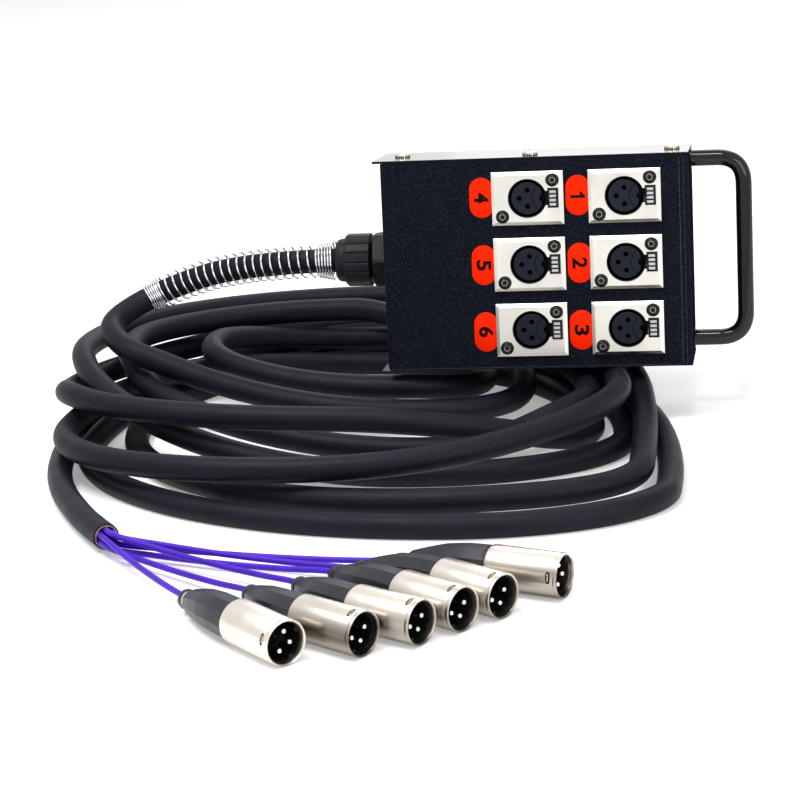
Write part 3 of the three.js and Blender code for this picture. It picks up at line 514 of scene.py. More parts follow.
# Coil: each turn runs counterclockwise, seen from above, through its left, front, right and back.
# A place is x, y and the layer, and the last number bulges the right back quarter.
TURNS = [
    [(-222, 8, 3), (-60.2, -11, 0.4), (-7.8, 37.2, 0), (-71.5, 108, 0.49), 1.04],
    [(-175, 51.3, 1.78), (-71.6, 6.5, 1.11), (-31.7, 49.5, 0.45), (-107.9, 103.6, 2.12), 1.27],
    [(-217.2, 45.7, 1.95), (-45.5, -56.8, 0.1), (28.3, -11.8, 1.21), (-83.8, 131.8, 2.18), 1.47],
    [(-235.3, 19.5, 2.4), (-52.4, -88.5, 0), (43.8, -36.7, 0), (-84.6, 109.4, 0), 1.3],
    [(-203.2, -2.1, 0.03), (-36.1, -136.5, 0.37), (51.2, -98, 0.09), (-78.6, 131.3, 0.98), 0.6],
    [(-229.7, -13.8, 1.73), (-94.8, -75, 1.89), (28.7, -8.7, 0.05), (-83.6, 92.1, 0.05), 1.2],
    [(-228.6, -44.2, 1.04), (-104.2, -127.3, 1.34), (43, -22.5, 2.36), (-90.8, 122.5, 0.74), 1],
    [(-220.6, -28.8, 0.05), (-28.7, -157.8, 0), (60.1, -117.2, 0.09), (-91.1, 122.7, 0), 1.01],
]
COIL_END = (-231, -14, 0)
REST, RISE = 4.8, 12.9
QUARTER = 24
FIRST = 8
# Strands settle with ROOM between their middles, and those under the box stay CLEAR of it.
ROOM, NEAR, NEIGHBOURS, ROUNDS = 14.8, 6, 12, 400
PUSH, EVEN, KEEP = 0.16, 0.35, 0.997
UNDER_HALF, UNDER_FRONT, UNDER_BACK, CLEAR = 87, -12, 62, 0.4


def ideal_turns():
    stations = [place for turn in TURNS for place in turn[:4]] + [COIL_END]
    stations = [(x, y, REST + RISE * layer) for x, y, layer in stations]
    points = []
    for i, (a, b) in enumerate(zip(stations, stations[1:])):
        bulge = TURNS[i // 4][4] if i % 4 == 2 else 1
        for k in range(QUARTER):
            angle = k / QUARTER * math.pi / 2
            fall, rise = math.cos(angle), math.sin(angle)
            z = a[2] + (b[2] - a[2]) * (1 - math.cos(2 * angle)) / 2
            if i % 2 == 0:
                points.append((b[0] + (a[0] - b[0]) * fall**bulge, a[1] + (b[1] - a[1]) * rise, z))
            else:
                points.append((a[0] + (b[0] - a[0]) * rise, b[1] + (a[1] - b[1]) * fall, z))
    points.append(stations[-1])
    return np.array(points, float)


def settled_turns():
    """Strands that are too close press each other aside, and the shift is evened out along the cable."""
    ideal = ideal_turns()
    shift = np.zeros_like(ideal)
    for r in range(ROUNDS):
        p = ideal + shift
        if r % 25 == 0:
            apart = ((p[:, None, :] - p[None, :, :]) ** 2).sum(2)
            i, j = np.nonzero(np.triu(apart < (ROOM + NEAR) ** 2, NEIGHBOURS))
        d = p[i] - p[j]
        far = np.sqrt((d**2).sum(1)) + 1e-9
        d *= (np.clip(ROOM - far, 0, None) / far * PUSH)[:, None]
        for a in range(3):
            shift[:, a] += np.bincount(i, d[:, a], len(p)) - np.bincount(j, d[:, a], len(p))
        for _ in range(3):
            shift[1:-1] += EVEN * ((shift[:-2] + shift[2:]) / 2 - shift[1:-1])
        p = ideal + shift * KEEP
        p[:, 2] = np.maximum(p[:, 2], REST)
        ceiling = FRONT_LIFT - p[:, 1] * math.tan(LEAN) - CABLE_R - CLEAR
        under = (abs(p[:, 0]) < UNDER_HALF) & (p[:, 1] > UNDER_FRONT) & (p[:, 1] < UNDER_BACK)
        p[:, 2] = np.where(under, np.minimum(p[:, 2], ceiling), p[:, 2])
        shift = p - ideal
    return ideal + shift


turns = settled_turns()[FIRST:]
GLAND_TIP = 27.5
gland_exit = ROW.inverted() @ (GLAND @ Vector((0, GLAND_TIP + 0.3, 0)))
LEAD_ROUTE = [
    (-112, 31.3, 79.2), (-131, 33.5, 77.9), (-150, 38.5, 75.3), (-169, 43, 71.3), (-186, 46, 65.8),
    (-200, 46.5, 60.4), (-213, 40, 55), (-220.5, 27, 50.3), (-217, 13.5, 47),
]
TAIL_ROUTE = [
    (-232.5, -32, 4.8), (-229.5, -56, 4.9), (-223, -84, 5.4), (-213.5, -110, 6), (-203, -131, 6.3),
    (-191.5, -151, 6.6), (-177.5, -172, 7.2),
]
lead_heading = (turns[4] - turns[0]) / np.linalg.norm(turns[4] - turns[0])
tail_heading = (turns[-1] - turns[-5]) / np.linalg.norm(turns[-1] - turns[-5])
JOINT_NEAR, JOINT_FAR = 0.3, 6.3
lead = through([
    gland_exit, *LEAD_ROUTE, turns[0] - lead_heading * JOINT_FAR, turns[0] - lead_heading * JOINT_NEAR,
])
tail = through([turns[-1] + tail_heading * JOINT_NEAR, turns[-1] + tail_heading * JOINT_FAR, *TAIL_ROUTE])
cable_line = evened(np.vstack([lead, turns, tail]), 3.5)
cable = piece(
    "multicore_cable", tube("multicore_cable", cable_line, CABLE_R, 24), jacket,
    ["cable_coil", "lead_cable", "tail_cable"], smooth=60,
)

# Strain relief spring
CLOSED, OPENED = 6, 19
MOUTH_R, BODY_R, END_R = 9.6, 8, 7.1
MOUTH_PITCH, OPEN_PITCH, END_PITCH = 1.4, 4.72, 1.45
WIRE_R = 0.5


def spring_line():
    """Closed curls, open curls and closed curls round the lead."""
    along = marks_of(lead)
    steps = 24
    points, s = [], 0.9
    for i in range((2 * CLOSED + OPENED) * steps + 1):
        turn = i / steps
        centre, ahead, behind = [at_mark(lead, along, q) for q in (s, s + 1.5, s - 0.9)]
        heading = (ahead - behind).normalized()
        across, level = square_to(heading)
        angle = turn * 2 * math.pi
        if turn < CLOSED:
            radius, pitch = MOUTH_R + (BODY_R - MOUTH_R) * turn / CLOSED, MOUTH_PITCH
        elif turn < CLOSED + OPENED:
            radius, pitch = BODY_R, OPEN_PITCH
        else:
            radius, pitch = BODY_R + (END_R - BODY_R) * (turn - CLOSED - OPENED) / CLOSED, END_PITCH
        points.append(centre + (level * math.cos(angle) + across * math.sin(angle)) * radius)
        s += pitch / steps
    return row_points(points)


spring = wire("strain_spring", spring_line(), WIRE_R, steel, ["relief_spring"])

# Cut end of the cable: a torn sleeve of braid round a dark filler
end_heading = Vector(tail[-1] - tail[-4]).normalized()
end_place = Vector(tail[-1])
end_across, end_level = square_to(end_heading)


def round_end(radius, angle, ahead):
    side = end_across * math.cos(angle) + end_level * math.sin(angle)
    return end_place + end_heading * ahead + side * radius


def torn_braid():
    """A short sleeve of braid with an uneven edge, and loose strands and foil at the rim."""
    verts, faces = [], []
    rng = np.random.default_rng(5)
    sides = 72
    edge = 0.7 + 0.5 * rng.random(sides) + 0.35 * np.sin(np.arange(sides) / 3)
    for angle, torn_at in zip(circle(sides), edge):
        for radius, ahead in ((5.3, 0.05), (5.2, torn_at), (4.9, torn_at), (4.7, 0.05)):
            verts.append(round_end(radius, angle, ahead))
    for k in range(sides):
        a, b = 4 * k, 4 * ((k + 1) % sides)
        for q in range(3):
            faces.append((a + q, b + q, b + q + 1, a + q + 1))
    for _ in range(26):
        angle = rng.random() * 2 * math.pi
        wide = 0.02 + 0.05 * rng.random()
        reach = 1.2 + 1.4 * rng.random()
        out = 5.0 + 0.9 * rng.random()
        base = len(verts)
        verts += [
            round_end(4.9, angle, 0.2), round_end(4.9, angle + wide, 0.2),
            round_end(out, angle + wide, reach), round_end(out - 0.1, angle, reach * 0.8),
        ]
        faces.append((base, base + 1, base + 2, base + 3))
    return faces_mesh("cable_braid", verts, faces, ROW)


torn = piece("cable_braid", torn_braid(), braid, ["core_stub"], smooth=50)
filler_rings = []
for radius, ahead in ((4.75, 0.05), (4.4, 0.5), (1.2, 0.9)):
    filler_rings.append([round_end(radius, angle, ahead) for angle in circle(40)])
filler_verts, filler_faces = loft(filler_rings, capped=False)
filler_faces.append(tuple(range(80, 120)))
filler_mesh = faces_mesh("cable_core_filler", filler_verts, filler_faces, ROW)
filler = piece("cable_core_filler", filler_mesh, liner_black)

# Plugs
PLUG_PLACES = [(-73, -298.6), (-44, -289.4), (-22.8, -278), (-8, -264.6), (6.6, -251), (29.4, -229)]
PLUG_HEADINGS = [-44, -33, -30, -35, -35, -20]
BOOT_HEADINGS = [-52, -60, -58, -46, -25, -19]
PLUG_ROLLS = [70, 15, 15, 15, 15, 78]
# Which copy of the painted shade each plug shell gets.
PLUG_SHADE = ["light", "low", "middle", "middle", "middle", "high"]
SHELL_R = 9.5
PIN_RING = 4
BOOT_START, BOOT_LENGTH, BOOT_R, TIP_R, BOOT_DROP = -33.3, 41, 9, 4.5, 3.5


def plug_matrix(i):
    turn = Matrix.Rotation(math.radians(PLUG_HEADINGS[i]) - math.pi / 2, 4, "Z")
    return ROW @ Matrix.Translation((*PLUG_PLACES[i], SHELL_R)) @ turn


def shell_mesh(roll):
    """A turned shell with a thick rounded rim, a faint ring behind it and an oval, notched latch slot."""
    profile = [
        (8.4, -1.0), (8.55, -0.45), (8.85, -0.08), (9.1, 0), (9.35, -0.12), (9.5, -0.45),
        (9.5, -1.5), (9.42, -1.62), (9.42, -1.8), (9.5, -1.92),
        (9.5, -31.6), (9.38, -32.4), (9.05, -32.9), (8.7, -33), (7.6, -33), (7.6, -18), (8.4, -18),
        (8.4, -1.0),
    ]
    slot = []
    for angle in np.linspace(0, 2 * math.pi, 28, endpoint=False):
        across = 2.5 * math.copysign(abs(math.cos(angle)) ** 0.7, math.cos(angle))
        slot.append((across, -3.7 + 1.0 * math.sin(angle)))
    rings = [[(x, y, z) for x, y in slot] for z in (6.6, 11)]
    slot_shape = moved(loft(rings), Matrix.Rotation(roll, 4, "Y"))
    latch = [[(x * 0.42, -0.4 + (y + 3.7) * 0.35, z) for x, y in slot] for z in (6.6, 11)]
    notch_shape = moved(loft(latch), Matrix.Rotation(roll + 0.12, 4, "Y"))
    return carved("shell", [lathe(profile, 72)], [slot_shape, notch_shape])


def rolled(radius, angle):
    return -radius * math.cos(angle), radius * math.sin(angle)


def liner_shape():
    profile = [
        (0, -17.8), (8.3, -17.8), (8.3, -2.6), (8.15, -2.3), (7.95, -2.3), (7.8, -2.6), (7.8, -13.9),
        (7.4, -14.2), (0, -14.2),
    ]
    return lathe(profile, 64)


def key_rib(roll, turn):
    """A raised rib along the liner."""
    shape = block((-0.9, -14.0, 6.9), (0.9, -2.6, 8.0))
    return moved(shape, Matrix.Rotation(roll + turn, 4, "Y"))


def pin_profile():
    return [(0, -16), (1.2, -16), (1.2, -3.6), (1.12, -3.2), (0.9, -2.8), (0.5, -2.55), (0, -2.5)]


def boot_line(i):
    """Middle line and radii of a boot in its plug's frame."""
    turn_by = math.radians(BOOT_HEADINGS[i] - PLUG_HEADINGS[i])
    at = Vector((0, BOOT_START, 0))
    centres, radii = [at.copy()], [BOOT_R]
    for k, drop, share in ((1, 0.05, 0.98), (2, 0.25, 0.9), (3, 0.6, 0.72), (4, 1, 0.5)):
        heading = Matrix.Rotation(turn_by * k / 4, 3, "Z") @ Vector((0, -1, 0))
        at = at + heading * BOOT_LENGTH / 4
        at.z = -BOOT_DROP * drop
        centres.append(at.copy())
        radii.append(BOOT_R * share)
    centres.append(at + heading * 3)
    radii.append(TIP_R)
    return centres, radii


FACETS, FACET_POINTS = 10, 60


def facet_ring(centre, heading, radius, sharp):
    """A ring of points square to a heading, between a circle and a ten-sided outline."""
    across, level = square_to(heading)
    ring = []
    for angle in circle(FACET_POINTS):
        part = (angle + math.pi / FACETS) % (2 * math.pi / FACETS) - math.pi / FACETS
        flat = math.cos(math.pi / FACETS) / math.cos(part)
        r = radius * (1 - sharp + sharp * flat)
        ring.append(centre + level * (r * math.cos(angle)) + across * (r * math.sin(angle)))
    return ring


def boot_meshes(i):
    """The faceted boot, the gap at its end and the end ring."""
    centres, radii = boot_line(i)
    smooth = through([tuple(c) for c in centres], 8)
    marks = np.linspace(0, len(centres) - 1, len(smooth))
    widths = np.interp(marks, range(len(radii)), radii)
    widths[0] = BOOT_R
    ways = headings(smooth)
    total = length_of(smooth)
    along = marks_of(smooth)

    def ring_at(s, radius=None, sharp=0.0, shrink=0.0):
        k = int(np.searchsorted(along, s).clip(0, len(ways) - 1))
        r = radius if radius is not None else np.interp(s, along, widths)
        return facet_ring(at_mark(smooth, along, s), ways[k], r - shrink, sharp)

    collar = [
        facet_ring(Vector((0, y, 0)), Vector((0, -1, 0)), r, sharp)
        for y, r, sharp in ((-25.6, 7.2, 0.0), (-33.2, 7.2, 0.0), (-33.35, 8.5, 0.3), (-33.7, 8.95, 0.6))
    ]
    body = [ring_at(s, sharp=0.95) for s in np.linspace(1.2, total - 7.4, 30)]
    body += [ring_at(total - 7.1, shrink=0.15, sharp=0.7), ring_at(total - 6.9, shrink=0.7, sharp=0.4)]
    gap = [ring_at(s, 4.15) for s in (total - 7.3, total - 6.0, total - 4.6, total - 3.4)]
    tip = [
        ring_at(total - 3.7, 3.6), ring_at(total - 3.65, 4.3, 0.2), ring_at(total - 3.4, 4.5, 0.3),
        ring_at(total - 0.4, 4.2, 0.3), ring_at(total - 0.05, 3.8, 0.1), ring_at(total - 0.02, 1.5),
    ]
    return [faces_mesh(n, *loft(r)) for n, r in (("boot", collar + body), ("gap", gap), ("tip", tip))]


boot_ends = []
shell_by_roll, insert_by_roll = {}, {}
for i in range(6):
    matrix = plug_matrix(i)
    roll = math.radians(PLUG_ROLLS[i])
    tag = str(i + 1)
    label = "plug_" + tag
    if roll not in shell_by_roll:
        shell_by_roll[roll] = shell_mesh(roll)
        ribs = [key_rib(roll, 0.0), key_rib(roll, math.pi * 0.75), key_rib(roll, -math.pi * 0.75)]
        insert_by_roll[roll] = carved("inner", [liner_shape(), *ribs], [])
    shell = piece(
        label + "_shell", placed(shell_by_roll[roll], matrix), plug_nickel_painted_shade[PLUG_SHADE[i]],
        ["plug_shell_" + tag], smooth=35,
    )
    inner = piece(
        label + "_insulator", placed(insert_by_roll[roll], matrix), liner_black,
        ["plug_pins_" + tag], smooth=35,
    )
    for k, angle in zip("abc", (roll, roll + math.pi, roll - math.pi / 2)):
        x, z = rolled(PIN_RING, angle)
        shape = moved(lathe(pin_profile(), 24), Matrix.Translation((x, 0, z)))
        piece(label + "_pin_" + k, faces_mesh("pin", *shape, matrix), pin_silver, smooth=45)
    tongue = moved(block((-1.6, -4.25, 8.5), (1.6, -3.65, 9.15)), Matrix.Rotation(roll, 4, "Y"))
    tongue = eased(faces_mesh("tongue", *tongue), 0.12, merge=0.001)
    latch = piece(label + "_latch", placed(tongue, matrix), screw_nickel, smooth=35)
    boot, gap, tip = boot_meshes(i)
    boot = piece(
        label + "_boot", placed(boot, matrix), boot_black,
        ["plug_boot_" + tag], smooth=28,
    )
    gap = piece(label + "_boot_gap", placed(gap, matrix), boot_black if i else grey_ring, smooth=60)
    tip = piece(label + "_boot_tip", placed(tip, matrix), boot_black, smooth=60)
    centres, _ = boot_line(i)
    to_floor = ROW.inverted() @ matrix
    boot_ends.append((to_floor @ centres[-1], (to_floor @ centres[-1] - to_floor @ centres[-2]).normalized()))

# Inner cores
CORE_STARTS = [30, 330, 90, 270, 150, 210]
CORE_RING, STRAIGHT, BEFORE_BOOT, IN_BOOT, SAG = 3.4, 8.6, 4.3, 21, 6
for i in range(6):
    angle = math.radians(CORE_STARTS[i])
    start = round_end(CORE_RING, angle, 0.3)
    first = round_end(CORE_RING, angle, STRAIGHT)
    end, outward = boot_ends[i]
    last = end + outward * BEFORE_BOOT
    inside = end - outward * IN_BOOT
    run = []
    for k in range(6):
        bend = first.lerp(last, k / 5)
        bend.z -= SAG * k / 5 * (1 - k / 5)
        run.append(bend)
    line = through([tuple(p) for p in (start, *run, end, end - outward * 4, inside)])
    line = evened(line, 3)
    tag = str(i + 1)
    core = wire("core_" + tag, row_points(line), CORE_R, violet, ["breakout_core_" + tag])


# Box and lid, with eased edges
def dressed(node, width, mat, name, segments=3):
    mesh = nodes[node].data.copy()
    mesh = eased(mesh, width * MM, segments, 0.00001)
    return piece(name, mesh, mat, [node], smooth=35, weighted=True)


dressed("box_tray", 0.7, powder, "steel_box")
lid = dressed("lid_plate", 0.35, lid_paint, "steel_lid", 2)
lid.data.materials.append(powder)
lid_up = (BOX.to_3x3() @ UP).normalized()
for face in lid.data.polygons:
    face.material_index = 0 if face.normal.dot(lid_up) > 0.8 else 1

# Handle
HANDLE_TOP, HANDLE_BOTTOM, REACH, BEND, ROD_R = 98.8, 10, 25.75, 13, 4


def handle_line():
    root, outer = BOX_W / 2 + 0.1, BOX_W / 2 + REACH
    straight_end = outer - BEND - 4
    points = [(root, HANDLE_TOP), (straight_end, HANDLE_TOP)]
    bends = np.array([
        [(outer - BEND, HANDLE_TOP), (outer, HANDLE_TOP), (outer, HANDLE_TOP - BEND)],
        [(outer, HANDLE_BOTTOM + BEND), (outer, HANDLE_BOTTOM), (outer - BEND, HANDLE_BOTTOM)],
    ])
    for a, b, c in bends:
        for t in np.linspace(0, 1, 17):
            points.append(tuple((1 - t) ** 2 * a + 2 * t * (1 - t) * b + t**2 * c))
    points += [(straight_end, HANDLE_BOTTOM), (root, HANDLE_BOTTOM)]
    return [BOX @ Vector((x, BOX_D / 2, z)) for x, z in points]


def handle_mesh():
    line = handle_line()
    side = (BOX.to_3x3() @ Vector((0, 1, 0))).normalized()
    rings = []
    for p, heading in zip(line, headings(line)):
        level = side.cross(heading)
        rings.append([
            p + (level * math.cos(angle) + side * math.sin(angle)) * ROD_R * MM for angle in circle(40)
        ])
    return faces_mesh("handle_rod", *loft(rings))


piece("handle_rod", handle_mesh(), gloss_black, ["handle"], smooth=50)
washer = lathe([(0, 0.02), (5.2, 0.02), (5.2, 0.5), (4.9, 0.8), (0, 0.8)], 40)
for name, height in (("upper", HANDLE_TOP), ("lower", HANDLE_BOTTOM)):
    turn = BOX @ Matrix.Translation((BOX_W / 2, BOX_D / 2, height)) @ Matrix.Rotation(-math.pi / 2, 4, "Z")
    piece("handle_foot_" + name, faces_mesh("foot", *washer, turn), gloss_black)


# Screws
def screw_head(radius, height, recess):
    """A domed head along +Y on a seat at zero, with a cross recess."""
    dome = [(0, 0), (radius, 0), (radius, height * 0.4)]
    for t in np.linspace(0.15, 1, 7):
        dome.append((radius * math.cos(t * math.pi / 2), height * (0.4 + 0.6 * math.sin(t * math.pi / 2))))
    dome[-1] = (0, height)
    arm, half = radius * 0.62, radius * 0.13
    cuts = [
        block((-arm, height - recess, -half), (arm, height + 1, half)),
        block((-half, height - recess, -arm), (half, height + 1, arm)),
    ]
    return carved("head", [lathe(dome, 40)], cuts)


lid_head = screw_head(3.6, 2.2, 1.1)
for side, x, y, spin in (("left", -66.5, 20, 0.3), ("middle", -2, 9, 1.1), ("right", 66.5, 20, 0.7)):
    turn = BOX @ Matrix.Translation((x, y, BOX_H + 0.3)) @ Matrix.Rotation(math.pi / 2, 4, "X")
    turn = turn @ Matrix.Rotation(spin, 4, "Y")
    piece(
        "lid_screw_head_" + side, placed(lid_head, turn), screw_nickel, ["lid_screw_" + side],
        smooth=35,
    )
    band = []
    for y, r in ((-0.28, 3.75), (0.85, 3.72), (0.95, 3.5)):
        spots = [(k, r - (0.22 if k % 4 > 1 else 0)) for k in range(96)]
        band.append([around(q, y, k * math.pi / 48) for k, q in spots])
    piece("lid_screw_band_" + side, faces_mesh("band", *loft(band), turn), shadow_brass, smooth=20)

# Gland
HEX_END, HEX_EASE, NUT_START = 7.8, 1.3, 9.5
NUT_R, NUT_END, RIBS, CHANNEL = 13.25, 22.8, 16, 0.1
STEM_R, STEM_START, THREAD = 9, -9.5, 0.45


def hexagon(radius, low_y, high_y):
    """A hexagonal body with its corners turned down at the far face."""
    rings = []
    for y, cut in ((low_y, 0.0), (high_y - HEX_EASE, 0.0), (high_y, HEX_EASE)):
        ring = []
        for turn in circle(96):
            angle = turn + math.pi / 6
            part = (angle + math.pi / 6) % (math.pi / 3) - math.pi / 6
            flat = radius * math.cos(math.pi / 6) / math.cos(part)
            r = min(flat, radius * 0.985, radius - cut)
            ring.append((r * math.sin(angle), y, r * math.cos(angle)))
        rings.append(ring)
    return loft(rings)


hex_r = 26 / 2 / math.cos(math.pi / 6)
stem = [(0, STEM_START), (STEM_R, STEM_START)]
for k in range(60):
    y = -9.3 + k * 0.45 if k < 18 else HEX_END + (k - 18) * 0.28
    stem.append((STEM_R - (THREAD if k % 2 else 0), y))
stem += [(STEM_R, HEX_END + 12), (0, HEX_END + 12)]
body = carved("gland", [hexagon(hex_r, 0.3, HEX_END), lathe(stem, 56)], [drum(6.3, -12, 22, 48)])
piece("gland_base", placed(body, GLAND), nylon, ["gland_body"], smooth=30)


def nut_ring(y, radius, depth):
    """Grip outline: sixteen broad ribs with narrow channels between them."""
    ring = []
    for angle in circle(256):
        part = (angle / (2 * math.pi) * RIBS) % 1
        edge = min(part, 1 - part)
        low = max(0.0, 1 - (edge / CHANNEL) ** 2)
        r = radius - depth * low
        ring.append(around(r, y, angle))
    return ring


def nut_mesh():
    rings = [nut_ring(NUT_START, NUT_R - 0.7, 0.2), nut_ring(NUT_START + 0.5, NUT_R, 0.6)]
    rings += [nut_ring(NUT_END - 1.4, NUT_R, 0.6), nut_ring(NUT_END - 0.2, NUT_R - 0.9, 0.3)]
    rings += [nut_ring(NUT_END, NUT_R - 1.6, 0.0), nut_ring(NUT_END + 0.05, 11, 0.0)]
    for t in np.linspace(0.2, 1, 6):
        rings.append(nut_ring(NUT_END + 4.5 * t, 9.5 + 1.5 * math.sqrt(max(0, 1 - t * t)), 0.0))
    rings.append(nut_ring(GLAND_TIP, 9.1, 0.0))
    cuts = [drum(9.6, 2, NUT_END - 1, 56), drum(6.35, 2, 30, 56)]
    low, high = NUT_END + 1.3, NUT_END + 1.3 + 0.5
    cuts.append(lathe([(10.7, low), (12, low), (12, high), (10.7, high), (10.7, low)], 56))
    return carved("nut", [loft(rings)], cuts)


piece("gland_cap", placed(nut_mesh(), GLAND), nylon, ["gland_nut"], smooth=28)

# Sockets
MIDDLE_Z = 51.7
SOCKETS = [(x, z) for x in (44, -3) for z in (84, MIDDLE_Z, 19.4)]
FACE, STEP, BACK = -2.3, -1.1, -0.3
BORE_R, SCREW_X, SCREW_Z, SCREW_SUNK, TAB_X = 9.5, 12.35, 8.7, 0.98, 12.5
LABEL_X, LABEL_SPREAD, LABEL_R, LABEL_HALF = -22.6, 0.023, 5.9, 3.9
DIGIT_W, DIGIT_H, DIGIT_LIFT = 5.3, 7.2, 0.22


def flange_mesh():
    """Plate with chamfered edges, sleeve, bore, a slot for the tab and two sunk screw seats."""
    rings = []
    for y, w, h in ((BACK, 17.5, 13), (STEP, 17.5, 13), (FACE, 15.9, 11.4)):
        rings.append([(-w, y, -h), (w, y, -h), (w, y, h), (-w, y, h)])
    cuts = [drum(BORE_R, -6, 20, 72)]
    cuts += [block((0, -6, -3.5), (10.5, 10, 3.5)), block((9.9, -6, -4.85), (15.2, 10, 4.85))]
    for s in (1, -1):
        cuts.append(drum(3.3, -6, FACE + 1, 40, s * SCREW_X, s * SCREW_Z))
    mesh = carved("flange", [loft(rings), drum(11, STEP, 16, 72)], cuts)
    return eased(mesh, 0.16)


def insert_mesh():
    """Contact insert with three holes, a flat towards the tab and a curved key groove."""
    body = lathe([(0, -1.9), (7.6, -1.9), (7.85, -1.65), (7.85, 20), (0, 20)], 72)
    holes = ((-3.9, 0), (0, 3.9), (0, -3.9))
    cuts = [drum(1.2, -4, 8, 28, x, z) for x, z in holes]
    cuts += [drum(1.55, -4, -1.6, 28, x, z) for x, z in holes]
    arc = lathe([(6.2, -4), (6.9, -4), (6.9, -1.2), (6.2, -1.2), (6.2, -4)], 96)
    cuts.append(moved(arc, Matrix.Translation((8.9, 0, 0))))
    cuts.append(block((6.9, -4, -5), (9, 6, 5)))
    cuts.append(block((5.9, -4, -1.3), (9, 6, 1.3)))
    return carved("insert", [body], cuts)


def tab_mesh():
    mesh = faces_mesh("tab", *block((-2.4, -3.5, -4.55), (2.4, 8, 4.55)))
    return eased(mesh, 0.45, 4)


def hex_corner(radius, k, y):
    return around(radius, y, k * math.pi / 3)


def black_screw():
    """A round black head with a raised ring and a six-sided recess."""
    profile = [
        (0, 0), (3.22, 0), (3.22, 0.75), (3.05, 1.0), (2.7, 1.1), (2.5, 1.42), (2.2, 1.6), (1.8, 1.52),
        (0, 1.48),
    ]
    recess = loft([[hex_corner(1.35, k, y) for k in range(6)] for y in (0.6, 3)])
    return carved("black_screw", [lathe(profile, 40)], [recess])


def recess_rim():
    """A bright ring round the recess of a black screw, as a painted highlight of the glints on its edge."""
    rings = []
    for radius, y in ((1.36, 1.4), (1.36, 1.56), (1.58, 1.58), (1.62, 1.4)):
        rings.append([hex_corner(radius, k, y) for k in range(6)])
    return faces_mesh("recess_rim", *loft([*rings, rings[0]], capped=False))


def label_mesh():
    """A thin stadium with soft edges."""
    rings = []
    for y, inset in ((-0.03, 0.0), (-0.14, 0.0), (-0.2, 0.12)):
        ring = []
        r = LABEL_R - inset
        for turn in circle(48):
            angle = turn + 0.001
            lift = LABEL_HALF if math.sin(angle) > 0 else -LABEL_HALF
            ring.append((r * math.cos(angle), y, r * math.sin(angle) + lift))
        rings.append(ring)
    return faces_mesh("label", *loft(rings))


def figure_one():
    """The outline of a bold upright one."""
    outline = [
        (1.35, -3.55), (1.35, 3.55), (0.3, 3.55), (-0.3, 2.75), (-0.95, 2.25), (-1.75, 1.9), (-1.75, 0.7),
        (-0.85, 1.0), (-0.05, 1.5), (-0.05, -3.55),
    ]
    return faces_mesh("digit", *loft([[(x, y, z) for x, y in outline] for z in (-0.03, 0.03)]))


def figure(number):
    """A bold upright digit from the plain built-in letters."""
    data = bpy.data.curves.new("digit", "FONT")
    data.body = str(number)
    data.size = 10
    data.offset = 0.3
    data.extrude = 0.03
    obj = in_scene("digit", data)
    graph = bpy.context.evaluated_depsgraph_get()
    mesh = bpy.data.meshes.new_from_object(obj.evaluated_get(graph))
    bpy.data.objects.remove(obj)
    low = [min(v.co[a] for v in mesh.vertices) for a in range(2)]
    high = [max(v.co[a] for v in mesh.vertices) for a in range(2)]
    mesh.transform(Matrix.Translation((-(low[0] + high[0]) / 2, -(low[1] + high[1]) / 2, 0)))
    mesh.transform(Matrix.Diagonal((DIGIT_W / (high[0] - low[0]), DIGIT_H / (high[1] - low[1]), 1, 1)))
    return mesh


def digit_mesh(number):
    """A digit about seven millimetres tall, lying on its side with its top to the right."""
    mesh = figure_one() if number == 1 else figure(number)
    stand = Matrix.Rotation(math.pi / 2, 4, "X")
    lie = Matrix.Rotation(math.pi / 2, 4, "Y")
    mesh.transform(lie @ stand)
    return mesh


